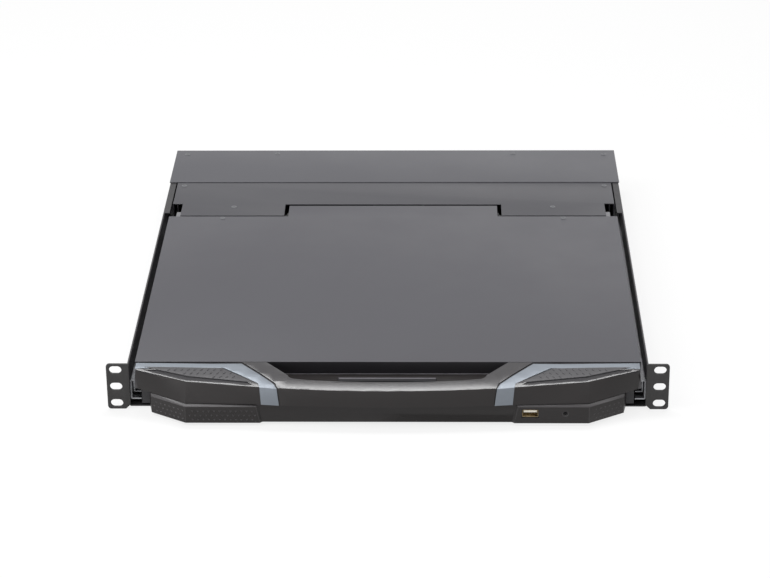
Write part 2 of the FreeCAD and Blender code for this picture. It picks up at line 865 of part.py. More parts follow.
# ---------------------------------------------------------------- lower front bezel
def lower_outline(proud):
    """The bezel seen from above: a straight front, a facet at each side, and the back edge."""
    half = [(front_bend_x, lower_front_y - proud), (lower_end_x + proud, lower_end_y - proud / 2),
            (lower_end_x + lower_flare + proud, tray_front_y)]
    return [(-x, y) for x, y in reversed(half)] + half


def side_panel():
    """The raised right-hand panel, with a chamfer along its top and down its slanted inner end."""
    face_y = lower_front_y - pad_proud
    slab = plate(lower_outline(pad_proud), lower_bottom_z, lower_top_z)
    top_edges = edges_where(slab, lambda a, b: abs(a.z - lower_top_z) < 0.01
                            and abs(b.z - lower_top_z) < 0.01 and max(a.y, b.y) < tray_front_y - 1)
    slab = slab.makeChamfer(pad_proud, top_edges)
    zone = section_y([(pad_inner_x - pad_slant, lower_bottom_z - 1), (ear_inner_x, lower_bottom_z - 1),
                      (ear_inner_x, lower_top_z), (pad_inner_x, lower_top_z)],
                     2 * lower_front_y, tray_front_y)
    panel = slab.common(zone)
    end_edges = edges_where(panel, lambda a, b: abs(a.y - face_y) < 0.01 and abs(b.y - face_y) < 0.01
                            and max(a.x, b.x) < pad_inner_x + 1 and abs(a.z - b.z) > usb_height)
    return panel.makeChamfer(0.9 * pad_proud, end_edges)


def lower_bezel():
    """A moulded front, hollow from behind, with raised side panels, a socket and a reset hole."""
    core = plate(lower_outline(0), lower_bottom_z, lower_top_z)
    top_edges = edges_where(core, lambda a, b: abs(a.z - lower_top_z) < 0.01
                            and abs(b.z - lower_top_z) < 0.01 and min(a.y, b.y) < tray_front_y - 1
                            and max(a.y, b.y) < tray_front_y - 1)
    core = core.makeChamfer(lower_chamfer, top_edges)
    shell = joined([core, side_panel(), mirrored(side_panel())])
    hollow = plate(lower_outline(-lower_wall), lower_bottom_z + lower_wall, lower_top_z - lower_wall)
    shell = shell.cut(hollow)
    posts = [hexagon(x, io_board_y, io_post_radius, lower_bottom_z + lower_wall / 2, io_board_z)
             for x in (io_board_x - io_board_width / 2 + io_post_radius,
                       io_board_x + io_board_width / 2 - io_post_radius)]
    shell = joined([shell] + posts)
    face_y = lower_front_y - pad_proud
    recess = block(usb_x - usb_width / 2 - usb_recess, usb_x + usb_width / 2 + usb_recess,
                   face_y - 1, face_y + usb_recess, usb_z - usb_height / 2 - usb_recess,
                   usb_z + usb_height / 2 + usb_recess)
    opening = block(usb_x - usb_width / 2 - usb_fit, usb_x + usb_width / 2 + usb_fit, face_y - 1,
                    lower_front_y + 2 * lower_wall, usb_z - usb_height / 2 - usb_fit,
                    usb_z + usb_height / 2 + usb_fit)
    dish = Part.makeCone(reset_dish_radius, reset_radius + reset_clearance, usb_recess,
                         V(reset_x, face_y, usb_z), V(0, 1, 0))
    bore = Part.makeCylinder(reset_radius + reset_clearance, 3 * lower_wall,
                             V(reset_x, face_y, usb_z), V(0, 1, 0))
    return shell.cut(recess).cut(opening).cut(dish).cut(bore)


def front_io_board():
    """The small board behind the front socket and the reset button, with the button's switch."""
    board = block(io_board_x - io_board_width / 2, io_board_x + io_board_width / 2,
                  io_board_y - io_board_depth / 2, io_board_y + io_board_depth / 2,
                  io_board_z, io_board_z + board_sheet)
    switch_front = lower_front_y - pad_proud + usb_recess + reset_length + reset_travel + touch_gap
    switch = block(reset_x - switch_width / 2, reset_x + switch_width / 2, switch_front,
                   io_board_y + io_board_depth / 2, io_board_z + board_sheet, usb_z + switch_width / 2)
    return joined([board, switch])


def usb_socket():
    """A metal sleeve with the contact tongue inside it, closed at the back."""
    y0 = lower_front_y - pad_proud + usb_recess
    sleeve = block(usb_x - usb_width / 2, usb_x + usb_width / 2, y0, y0 + usb_depth,
                   usb_z - usb_height / 2, usb_z + usb_height / 2)
    inside = block(usb_x - usb_width / 2 + usb_wall, usb_x + usb_width / 2 - usb_wall, y0 - 1,
                   y0 + usb_depth - usb_wall, usb_z - usb_height / 2 + usb_wall,
                   usb_z + usb_height / 2 - usb_wall)
    return sleeve.cut(inside)


def usb_tongue():
    """The plastic tongue that carries the contacts, seated on the back of the sleeve."""
    y0 = lower_front_y - pad_proud + usb_recess
    width = usb_width - 2 * tongue_margin
    root_y = y0 + usb_depth - tongue_root
    back = block(usb_x - usb_width / 2 + usb_wall, usb_x + usb_width / 2 - usb_wall,
                 root_y, y0 + usb_depth - usb_wall, usb_z - usb_height / 2 + usb_wall,
                 usb_z + usb_height / 2 - usb_wall)
    tongue = block(usb_x - width / 2, usb_x + width / 2, y0 + tongue_recess, root_y,
                   usb_z + tongue_rise, usb_z + tongue_rise + tongue_thickness)
    return joined([back, tongue])


def reset_button():
    """The recessed button, a plain pin that is pressed with a tip."""
    y0 = lower_front_y - pad_proud + usb_recess
    return Part.makeCylinder(reset_radius, reset_length, V(reset_x, y0, usb_z), V(0, 1, 0))


# ---------------------------------------------------------------- lid shell and display
def lid_cover():
    """The top skin with side and front walls, and a raised-edge housing between the hinges."""
    half = lid_half_width
    skin = block(-half, half, lid_front_y, lid_rear_y, lid_under_z, lid_top_z)
    walls = block(-half, half, lid_front_y, lid_wall_rear_y, lid_wall_bottom_z, lid_under_z)
    inside = block(-half + lid_skin, half - lid_skin, lid_front_y + lid_skin, lid_wall_rear_y - lid_skin,
                   lid_wall_bottom_z - 1, lid_under_z)
    sill = block(-bump_half_width, bump_half_width, lid_wall_rear_y, lid_rear_y, bump_bottom_z, lid_top_z)
    housing = block(-bump_half_width, bump_half_width, lid_rear_y, bump_rear_y, bump_bottom_z, lid_top_z)
    rear_edges = edges_where(housing, lambda a, b: abs(a.z - lid_top_z) < 0.01
                             and abs(b.z - lid_top_z) < 0.01 and abs(a.y - bump_rear_y) < 0.01
                             and abs(b.y - bump_rear_y) < 0.01)
    housing = housing.makeFillet(lid_skin, rear_edges)
    hollow = block(-bump_half_width + bump_wall, bump_half_width - bump_wall, lid_wall_rear_y,
                   bump_rear_y - bump_wall, bump_bottom_z - 1, lid_under_z)
    cover = joined([skin, walls.cut(inside), sill, housing]).cut(hollow)
    rim_edges = edges_where(cover, lambda a, b: abs(a.z - lid_top_z) < 0.01
                            and abs(b.z - lid_top_z) < 0.01 and abs(a.y - b.y) > 100)
    return cover.makeChamfer(lid_skin * 0.4, rim_edges)


def lid_frame():
    """The display surround: a plate with a bevelled window, key openings and board posts."""
    half = lid_half_width - lid_skin - frame_gap
    y0 = lid_front_y + lid_skin + frame_gap
    y1 = lid_wall_rear_y - lid_skin - frame_gap
    frame = block(-half, half, y0, y1, frame_bottom_z, frame_top_z)
    centre = screen_front_y + screen_depth / 2
    x = window_width / 2
    y = window_depth / 2
    low = rectangle_corners(-x - window_bevel, x + window_bevel, centre - y - window_bevel,
                            centre + y + window_bevel, frame_bottom_z)
    high = rectangle_corners(-x, x, centre - y, centre + y, frame_top_z)
    frame = frame.cut(frustum(low, high))
    for place in osd_places():
        frame = frame.cut(osd_block(place, osd_clearance, frame_bottom_z - 1, frame_top_z + 1))
    rims = [block(-half, half, y0, y0 + frame_sheet, frame_top_z, lid_under_z),
            block(-half, half, y1 - frame_sheet, y1, frame_top_z, lid_under_z)]
    posts = [hexagon(px, py, io_post_radius, frame_top_z, frame_top_z + driver_board_gap)
             for px in (-driver_board_width / 2 + 4, driver_board_width / 2 - 4)
             for py in (driver_board_y0 + 4, driver_board_y0 + driver_board_depth - 4)]
    return joined([frame] + rims + posts)


def osd_places():
    """The centres of the display keys, in a row near the hinge."""
    first = -(osd_count - 1) / 2 * osd_pitch
    return [first + index * osd_pitch for index in range(osd_count)]


def osd_block(x, grow, z0, z1):
    """One display key or, grown by its clearance, its opening."""
    return block(x - osd_width / 2 - grow, x + osd_width / 2 + grow, osd_y - osd_depth / 2 - grow,
                 osd_y + osd_depth / 2 + grow, z0, z1)


def osd_buttons():
    """The display keys, joined above the frame by one thin spring strip."""
    caps = [osd_block(x, 0, frame_bottom_z - osd_proud, frame_top_z + osd_clearance)
            for x in osd_places()]
    reach = (osd_count - 1) / 2 * osd_pitch + osd_width / 2
    strip = block(-reach, reach, osd_y - osd_depth / 2 - 1, osd_y + osd_depth / 2 + 1,
                  frame_top_z + osd_clearance, frame_top_z + osd_clearance + 0.4)
    return joined(caps + [strip])


def screen_block(z0, z1, inset):
    """A slab of the display module."""
    half = screen_width / 2 - inset
    return block(-half, half, screen_front_y + inset, screen_front_y + screen_depth - inset, z0, z1)


def lcd_screen():
    """The display glass, seated on the frame."""
    return screen_block(frame_top_z, frame_top_z + screen_glass, 0)


def lcd_backlight():
    """The metal-backed light module on the glass."""
    slab = screen_block(frame_top_z + screen_glass, frame_top_z + screen_glass + screen_module, 0)
    top = frame_top_z + screen_glass + screen_module
    edges = edges_where(slab, lambda a, b: abs(a.z - top) < 0.01 and abs(b.z - top) < 0.01)
    return slab.makeChamfer(2.0, edges)


def lcd_driver_board():
    """The display board on its posts, with two chips and a connector."""
    z0 = frame_top_z + driver_board_gap
    x = driver_board_width / 2
    board = block(-x, x, driver_board_y0, driver_board_y0 + driver_board_depth, z0, z0 + board_sheet)
    top = z0 + board_sheet
    chips = [block(-40, -26, driver_board_y0 + 8, driver_board_y0 + 22, top, top + 1.5),
             block(12, 24, driver_board_y0 + 6, driver_board_y0 + 18, top, top + 1.5),
             block(45, 65, driver_board_y0 + 24, driver_board_y0 + 31, top, top + 5)]
    return joined([board] + chips)


# ---------------------------------------------------------------- handle bezel
def top_plane(y, lift):
    """The sloped top of the handle, which meets the lid at its front edge."""
    return lid_top_z - handle_slope * (lid_front_y - y) + lift


def handle_wire(points, centre_y, grow, height):
    """One closed outline of the handle: two facets a side, an arc in front, straight at the back."""
    right = [(x + (grow if index == 0 else 0), y - grow) for index, (x, y) in enumerate(points)]
    back_x = right[0][0]
    back = lid_front_y
    path = [(back_x, back)] + right
    edges = []
    for (xa, ya), (xb, yb) in zip(path[:-1], path[1:]):
        edges.append(Part.makeLine(V(xa, ya, height(ya)), V(xb, yb, height(yb))))
    xe, ye = path[-1]
    mid_y = centre_y - grow
    edges.append(Part.Arc(V(xe, ye, height(ye)), V(0, mid_y, height(mid_y)),
                          V(-xe, ye, height(ye))).toShape())
    left = [(-x, y) for x, y in reversed(path)]
    for (xa, ya), (xb, yb) in zip(left[:-1], left[1:]):
        edges.append(Part.makeLine(V(xa, ya, height(ya)), V(xb, yb, height(yb))))
    edges.append(Part.makeLine(V(-back_x, back, height(back)), V(back_x, back, height(back))))
    return Part.Wire(edges)


def handle_solid(grow, bottom_z):
    """The handle's outer form, grown or shrunk evenly, from a flat seam to the sloped top."""
    top = handle_wire(crease_points, crease_centre_y, grow, lambda y: top_plane(y, grow))
    low = handle_wire(seam_points, seam_centre_y, grow, lambda y: bottom_z)
    return Part.makeLoft([low, top], True, True)


def pocket_prism(grow, z0, z1):
    """The finger pocket seen from above: a trapezoid whose front edge follows the handle's arc."""
    back = lid_front_y - grow
    corners = [(pocket_half_rear + grow, back), (pocket_half_front + grow, pocket_corner_y - grow)]
    front = pocket_front_y - grow
    (xa, ya), (xb, yb) = corners
    edges = [Part.makeLine(V(xa, ya, z0), V(xb, yb, z0)),
             Part.Arc(V(xb, yb, z0), V(0, front, z0), V(-xb, yb, z0)).toShape(),
             Part.makeLine(V(-xb, yb, z0), V(-xa, ya, z0)),
             Part.makeLine(V(-xa, ya, z0), V(xa, ya, z0))]
    prism = Part.Face(Part.Wire(edges)).extrude(V(0, 0, z1 - z0))
    corner_edges = edges_where(prism, lambda a, b: abs(a.z - b.z) > 1 and a.y < back - 1)
    return prism.makeFillet(pocket_corner_radius + grow, corner_edges)


def blade_outline():
    """The right-hand blade from above: along the lid's edge, then down across the handle's front."""
    far = ear_span / 2
    return [(lid_half_width, lid_front_y), (blade_rear_x, lid_front_y - blade_margin),
            (blade_tip_inner_x, blade_tip_y), (blade_seam_inner_x, seam_centre_y - blade_margin),
            (blade_seam_outer_x, seam_centre_y - blade_margin), (blade_tip_outer_x, blade_tip_y),
            (blade_corner_x, blade_corner_y), (lid_half_width - blade_end_inset, blade_end_y),
            (far, blade_end_y + 2 * blade_margin), (far, lid_front_y)]


def grip_outline():
    """The right-hand grip insert from above: the triangle between the blade and the front crease."""
    bend_x, bend_y = crease_points[1]
    arc_x, arc_y = crease_points[2]
    return [(lid_half_width - blade_end_inset, blade_end_y - grip_gap),
            (blade_corner_x + grip_gap, blade_corner_y - grip_gap), (arc_x, arc_y + 2 * grip_gap),
            (bend_x, bend_y + 1.4 * grip_gap)]


def lid_seam():
    """The fine groove across the top, between the lid's sheet and the handle."""
    return block(-ear_span, ear_span, lid_front_y - lid_seam_gap, lid_front_y + 1,
                 lid_top_z - lid_seam_depth, lid_top_z + 5)


def accent_strip():
    """The right-hand bright blade, let into the handle's top and front."""
    blade = plate(blade_outline(), handle_bottom_z - 1, lid_top_z + 2)
    proud = handle_solid(accent_proud, handle_bottom_z - accent_proud)
    core = handle_solid(-accent_depth, handle_bottom_z - accent_proud)
    low = block(0, ear_inner_x * 2, seam_centre_y * 2, lid_front_y, -40, handle_bottom_z + seam_margin)
    return proud.common(blade).cut(core).cut(low).cut(lid_seam())


def grip_insert():
    """The right-hand textured insert between the blade and the front crease."""
    zone = plate(grip_outline(), pocket_floor_z, lid_top_z + 2)
    return handle_solid(grip_proud, handle_bottom_z).common(zone).cut(
        handle_solid(-accent_depth, handle_bottom_z - 1))


def release_block(grow, z0, z1):
    """The release bar or, grown by its clearance, the slot for it."""
    return block(-release_width / 2 - grow, release_width / 2 + grow,
                 release_y - release_depth / 2 - grow, release_y + release_depth / 2 + grow, z0, z1)


def release_bar():
    """The bar in the pocket floor, with a flange below that keeps it in its slot."""
    top = pocket_floor_z + release_proud
    flange_top = pocket_floor_z - pocket_wall - release_clearance
    bar = release_block(0, flange_top - release_flange, top)
    edges = edges_where(bar, lambda a, b: abs(a.z - top) < 0.01 and abs(b.z - top) < 0.01)
    bar = bar.makeChamfer(0.4, edges)
    return joined([bar, release_block(release_lip, flange_top - release_flange, flange_top)])


def handle_bezel():
    """The moulded handle: a shell with a finger pocket, a slot for the release bar and inner ribs."""
    body = handle_solid(0, handle_bottom_z)
    cavity = handle_solid(-handle_wall, handle_bottom_z - handle_wall)
    cavity = cavity.cut(block(-2 * ear_inner_x, 2 * ear_inner_x, lid_front_y - handle_wall,
                              lid_front_y + 1, -50, 50))
    tub = pocket_prism(pocket_wall, pocket_floor_z - pocket_wall, lid_top_z + 5)
    ribs = [block(x - rib_sheet / 2, x + rib_sheet / 2, 2 * seam_centre_y, lid_front_y,
                  handle_bottom_z + rib_foot, lid_top_z) for x in rib_places()]
    cavity = cavity.cut(tub).cut(Part.makeCompound(ribs))
    shell = body.cut(cavity).cut(pocket_prism(0, pocket_floor_z, lid_top_z + 5))
    slot = release_block(release_clearance, pocket_floor_z - 2 * pocket_wall, pocket_floor_z + 1)
    pieces = [accent_strip(), grip_insert()]
    for piece in pieces + [mirrored(piece) for piece in pieces]:
        shell = shell.cut(piece)
    return shell.cut(slot).cut(lid_seam())


def rib_places():
    """Ribs inside the handle, clear of the release bar."""
    return [sign * x for x in (pocket_half_rear + 20, pocket_half_rear + 60) for sign in (-1, 1)]


def handle_bottom_plate():
    """The plate that closes the handle from below, resting on the ribs."""
    inset = handle_wall + frame_gap
    top = handle_bottom_z + rib_foot
    bottom = top - handle_floor_plate
    inside = handle_solid(-inset, handle_bottom_z - handle_wall)
    return inside.common(block(-ear_span, ear_span, 2 * seam_centre_y, lid_front_y - inset, bottom, top))


# ---------------------------------------------------------------- hinges
def hinge_cover():
    """The fixed strip behind the lid, with two tabs over the hinge barrels and turned-down sides."""
    half = hinge_cover_half_width
    side = [(half, hinge_bay_y), (tab_outer_x, hinge_bay_y), (tab_outer_x, tab_front_y),
            (tab_inner_x, tab_front_y), (tab_inner_x, hinge_cover_front_y)]
    outline = side + [(-x, y) for x, y in reversed(side)] + [(-half, hinge_cover_rear_y),
                                                             (half, hinge_cover_rear_y)]
    top = plate(outline, hinge_cover_under_z, hinge_cover_z)
    wall = block(half - hinge_cover_sheet, half, hinge_bay_y, hinge_cover_rear_y,
                 lid_wall_bottom_z, hinge_cover_under_z)
    rear = block(-half, half, hinge_cover_rear_y - hinge_cover_sheet, hinge_cover_rear_y,
                 lid_wall_bottom_z, hinge_cover_under_z)
    return joined([top, wall, mirrored(wall), rear])


def hinge_bracket(x0, x1):
    """A cast barrel on a web, with a foot on the tray floor and a post under the cover's tab."""
    barrel = Part.makeCylinder(hinge_barrel_radius, x1 - x0, V(x0, hinge_y, hinge_z), V(1, 0, 0))
    web = block(x0, x1, hinge_y - hinge_barrel_radius * 0.7, hinge_y + hinge_barrel_radius * 0.7,
                tray_floor_z, hinge_z)
    foot = block(x0, x1, hinge_y - hinge_foot_reach, hinge_cover_front_y - bracket_post_gap,
                 tray_floor_z, tray_floor_z + hinge_foot)
    post = block(x0, x1, hinge_cover_front_y - bracket_post_gap - bracket_post,
                 hinge_cover_front_y - bracket_post_gap, tray_floor_z, hinge_cover_under_z)
    bore = Part.makeCylinder(hinge_pin_radius + hinge_pin_clearance, x1 - x0 + 2,
                             V(x0 - 1, hinge_y, hinge_z), V(1, 0, 0))
    return joined([barrel, web, foot, post]).cut(bore)


def outer_hinge_bracket():
    """The barrel under the outer end of the right-hand tab."""
    x1 = tab_outer_x - barrel_tab_gap
    return hinge_bracket(x1 - outer_barrel_length, x1)


def inner_hinge_bracket():
    """The barrel under the inner end of the right-hand tab."""
    x0 = tab_inner_x + barrel_tab_gap
    return hinge_bracket(x0, x0 + inner_barrel_length)


def hinge_arm():
    """The right-hand arm from the lid's rear wall to its pin, which turns in the outer barrel."""
    x0 = tab_outer_x + barrel_tab_gap
    x1 = x0 + arm_thickness
    eye = Part.makeCylinder(hinge_barrel_radius, arm_thickness, V(x0, hinge_y, hinge_z), V(1, 0, 0))
    blade = section_x([(lid_wall_rear_y, hinge_z - hinge_barrel_radius - 1),
                       (lid_wall_rear_y, lid_under_z - 1), (hinge_y, hinge_z + hinge_barrel_radius),
                       (hinge_y, hinge_z - hinge_barrel_radius)], x0, x1)
    pin = Part.makeCylinder(hinge_pin_radius, outer_barrel_length + 2 * barrel_tab_gap,
                            V(x0 - outer_barrel_length - 2 * barrel_tab_gap, hinge_y, hinge_z), V(1, 0, 0))
    return joined([eye, blade, pin])


def hinge_pin():
    """The right-hand inner pin, from the lid's hinge housing into the inner barrel."""
    length = tab_inner_x - bump_half_width + inner_barrel_length
    shaft = Part.makeCylinder(hinge_pin_radius, length, V(bump_half_width, hinge_y, hinge_z), V(1, 0, 0))
    collar = Part.makeCylinder(hinge_barrel_radius - 1, pin_collar, V(bump_half_width, hinge_y, hinge_z),
                               V(1, 0, 0))
    return joined([shaft, collar])


# ---------------------------------------------------------------- rear electronics
def rear_block(x, width, height, front, rear):
    """A block on the socket row of the rear panel."""
    return block(x - width / 2, x + width / 2, front, rear, socket_row_z - height / 2,
                 socket_row_z + height / 2)


def inlet_body_block():
    """The space that the mains inlet takes in the rear panel."""
    return rear_block(inlet_x, inlet_width, inlet_height, chassis_depth - inlet_body_depth, chassis_depth)


def rocker_body_block():
    """The space that the power switch takes in the rear panel."""
    return rear_block(rocker_x, rocker_width, rocker_height, chassis_depth - rocker_depth, chassis_depth)


def vga_body_block():
    """The space that the video socket takes in the rear panel."""
    return rear_block(vga_x, vga_width, vga_height, chassis_depth - socket_depth, chassis_depth)


def uplink_body_block():
    """The space that the uplink socket takes in the rear panel."""
    return rear_block(uplink_x, uplink_width, uplink_height, chassis_depth - socket_depth, chassis_depth)


def power_inlet():
    """A three-pin inlet with two cut corners, a flange outside and a deep cavity."""
    rear = chassis_depth + inlet_flange
    body = joined([inlet_body_block(), rear_block(inlet_x, inlet_flange_width, inlet_flange_height,
                                                  chassis_depth, rear)])
    x = inlet_cavity_width / 2
    z = inlet_cavity_height / 2
    outline = [(inlet_x - x, socket_row_z - z), (inlet_x + x, socket_row_z - z),
               (inlet_x + x, socket_row_z + z - inlet_corner),
               (inlet_x + x - inlet_corner, socket_row_z + z),
               (inlet_x - x + inlet_corner, socket_row_z + z),
               (inlet_x - x, socket_row_z + z - inlet_corner)]
    cavity = section_y(outline, rear - inlet_cavity_depth, rear + 1)
    body = body.cut(cavity)
    pins = [(-inlet_pin_offset, -inlet_pin_height_offset), (0, 2 * inlet_pin_height_offset),
            (inlet_pin_offset, -inlet_pin_height_offset)]
    floor_y = rear - inlet_cavity_depth
    blades = [block(inlet_x + dx - 1, inlet_x + dx + 1, floor_y - 1, floor_y + inlet_pin_length,
                    socket_row_z + dz - 2, socket_row_z + dz + 2) for dx, dz in pins]
    return joined([body] + blades)


def rocker_frame():
    """The switch housing, open at the back for the rocker."""
    rear = chassis_depth + inlet_flange
    body = joined([rocker_body_block(), rear_block(rocker_x, rocker_width + 2, inlet_flange_height,
                                                   chassis_depth, rear)])
    return body.cut(rear_block(rocker_x, rocker_width - 2 * rocker_wall, rocker_height - 2 * rocker_wall,
                               chassis_depth - rocker_swing - touch_gap, rear + 1))


def power_rocker():
    """The rocker, a shallow V on a trunnion in the switch housing."""
    half_width = rocker_width / 2 - rocker_wall - touch_gap
    half_height = rocker_height / 2 - rocker_wall - 2 * touch_gap
    rear = chassis_depth + inlet_flange
    dip = half_height * math.tan(math.radians(rocker_tilt / 2))
    outline = [(rear + dip, socket_row_z - half_height), (rear - dip / 2, socket_row_z),
               (rear + dip, socket_row_z + half_height),
               (rear - rocker_swing / 2, socket_row_z + half_height),
               (rear - rocker_swing, socket_row_z), (rear - rocker_swing / 2, socket_row_z - half_height)]
    body = section_x(outline, rocker_x - half_width, rocker_x + half_width)
    return body.rotated(V(rocker_x, rear - rocker_swing / 2, socket_row_z), V(1, 0, 0), -rocker_tilt / 2)


def vga_socket():
    """A fifteen-way D-shaped socket with its flange."""
    x = vga_width / 2
    z = vga_height / 2
    skew = 1.5
    outline = [(vga_x - x + skew, socket_row_z - z), (vga_x + x - skew, socket_row_z - z),
               (vga_x + x, socket_row_z + z), (vga_x - x, socket_row_z + z)]
    nose = section_y(outline, chassis_depth, chassis_depth + socket_proud)
    flange = rear_block(vga_x, vga_flange_width, vga_flange_height, chassis_depth, chassis_depth + 0.8)
    return joined([vga_body_block(), flange, nose])


def uplink_socket():
    """The square socket that links the console to a computer."""
    rear = chassis_depth + 0.5
    body = joined([uplink_body_block(), rear_block(uplink_x, uplink_width, uplink_height,
                                                   chassis_depth, rear)])
    cavity = rear_block(uplink_x, uplink_cavity_width, uplink_cavity_height,
                        rear - socket_depth + 4, rear + 1)
    tongue = rear_block(uplink_x, uplink_cavity_width - 3, uplink_cavity_height - 4.6,
                        rear - socket_depth + 3, rear - 1)
    return joined([body.cut(cavity), tongue])


def power_supply():
    """The closed supply module on the chassis floor."""
    x0 = supply_x - supply_width / 2
    body = block(x0, x0 + supply_width, rear_component_front_y, rear_component_front_y + supply_depth,
                 pan_floor_z, pan_floor_z + supply_height)
    top = pan_floor_z + supply_height
    edges = edges_where(body, lambda a, b: abs(a.z - top) < 0.01 and abs(b.z - top) < 0.01)
    return body.makeFillet(1.5, edges)


def main_board():
    """The switch board with its largest parts."""
    z0 = pan_floor_z + standoff_height
    top = z0 + board_sheet
    x0 = main_board_x - main_board_width / 2
    x1 = x0 + main_board_width
    y0 = rear_component_front_y
    board = block(x0, x1, y0, y0 + main_board_depth, z0, top)
    chip_x = x0 + chip_inset_x
    small_x = chip_x + chip_size + chip_gap
    chip_y = y0 + chip_inset_y
    header_y = y0 + header_inset_y
    left_x = x0 + left_header_inset
    right_x = x1 - right_header_inset
    parts = [block(chip_x, chip_x + chip_size, chip_y, chip_y + chip_size, top, top + chip_height),
             block(small_x, small_x + small_chip_size, chip_y, chip_y + small_chip_size,
                   top, top + chip_height),
             block(left_x, left_x + chip_size, header_y, header_y + header_depth, top, top + header_height),
             block(right_x - right_header_width, right_x, header_y, header_y + header_depth,
                   top, top + header_height)]
    cans = [hexagon(left_x + can_pitch * number, y0 + can_inset_y, can_radius, top, top + can_height)
            for number in range(2)]
    rests = []
    for centre, width, height in ((vga_x, vga_width, vga_height), (uplink_x, uplink_width, uplink_height)):
        rests.append(block(centre - width / 2, centre + width / 2, chassis_depth - socket_depth,
                           y0 + main_board_depth, top, socket_row_z - height / 2))
    return joined([board] + parts + cans + rests)


def board_standoffs():
    """Six pillars pressed into the chassis floor, under the main board."""
    x0 = main_board_x - main_board_width / 2 + 2 * standoff_radius
    x1 = main_board_x + main_board_width / 2 - 2 * standoff_radius
    rows = [rear_component_front_y + 2 * standoff_radius,
            rear_component_front_y + main_board_depth - 2 * standoff_radius]
    return [hexagon(x, y, standoff_radius, pan_floor_z, pan_floor_z + standoff_height)
            for x in (x0, main_board_x, x1) for y in rows]


# ---------------------------------------------------------------- build
def build():
    """Make and write every sub-part."""
    os.makedirs("parts", exist_ok=True)
    save("chassis_pan", chassis_pan())
    save("rear_panel", rear_panel())
    save("rear_cover", rear_cover())
    save_pair("rack_ear", rack_ear())
    save_pair("slide_outer", channel(slide_wall_x, slide_wall_x - slide_depth, outer_half,
                                     slide_outer_sheet, slide_front_y))
    save_pair("slide_middle", channel(middle_web_x, middle_edge_x, middle_half, slide_inner_sheet,
                                      slide_front_y + middle_recess))
    save_pair("slide_inner", slide_inner())
    save_pair("outer_ball_cage", outer_ball_cage())
    save_pair("inner_ball_cage", inner_ball_cage())
    save("drawer_tray", drawer_tray())
    save("keyboard_deck", keyboard_deck())
    save("key_guide_plate", key_guide_plate())
    save("keyboard_base", keyboard_base())
    for row, name in enumerate(row_names):
        cells = row_cells(row)
        if name == "bottom":
            save("space_bar", key_group([cells.pop(space_index())]))
        save(name + "_row_keys", key_group(cells))
    save("navigation_keys", key_group(navigation_cells()))
    save("numpad_keys", key_group(numpad_cells()))
    save("touch_frame", touch_frame())
    save("touchpad", touchpad())
    save_pair("touch_button", touch_button())
    save("lower_bezel", lower_bezel())
    save("front_io_board", Part.makeCompound([front_io_board(), usb_tongue()]))
    save("usb_socket", usb_socket())
    save("reset_button", reset_button())
    save("lid_cover", lid_cover())
    save("lid_frame", lid_frame())
    save("lcd_screen", lcd_screen())
    save("lcd_backlight", lcd_backlight())
    save("lcd_driver_board", lcd_driver_board())
    save("osd_buttons", osd_buttons())
    save("handle_bezel", handle_bezel())
    save("handle_bottom_plate", handle_bottom_plate())
    save("release_bar", release_bar())
    save_pair("accent_strip", accent_strip())
    save("grip_inserts", both_sides(grip_insert()))
    save("hinge_cover", hinge_cover())
    save("outer_hinge_brackets", both_sides(outer_hinge_bracket()))
    save("inner_hinge_brackets", both_sides(inner_hinge_bracket()))
    save("hinge_arms", both_sides(hinge_arm()))
    save("hinge_pins", both_sides(hinge_pin()))
    save("power_supply", power_supply())
    save("power_inlet", joined([power_inlet(), rocker_frame()]))
    save("power_rocker", power_rocker())
    save("main_board", main_board())
    save("vga_socket", vga_socket())
    save("uplink_socket", uplink_socket())


build()
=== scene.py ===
# %% [markdown]
# # A rack console drawer: screen, keyboard and slides in one rack unit
# The real object is a shallow steel drawer that fills one unit of an equipment rack. A flat painted lid
# carries the screen on its underside and ends in a moulded handle; the keyboard waits below it. The solids
# come from the packed model, so this lesson gives them light, finishes, soft edges and small fittings.
# Everything is in metres, in the model's own frame: X to the right, Y to the back, Z up.

# %% Open the packed model
import json
import math
import bmesh
import bpy
from mathutils import Matrix, Vector
from mathutils.bvhtree import BVHTree

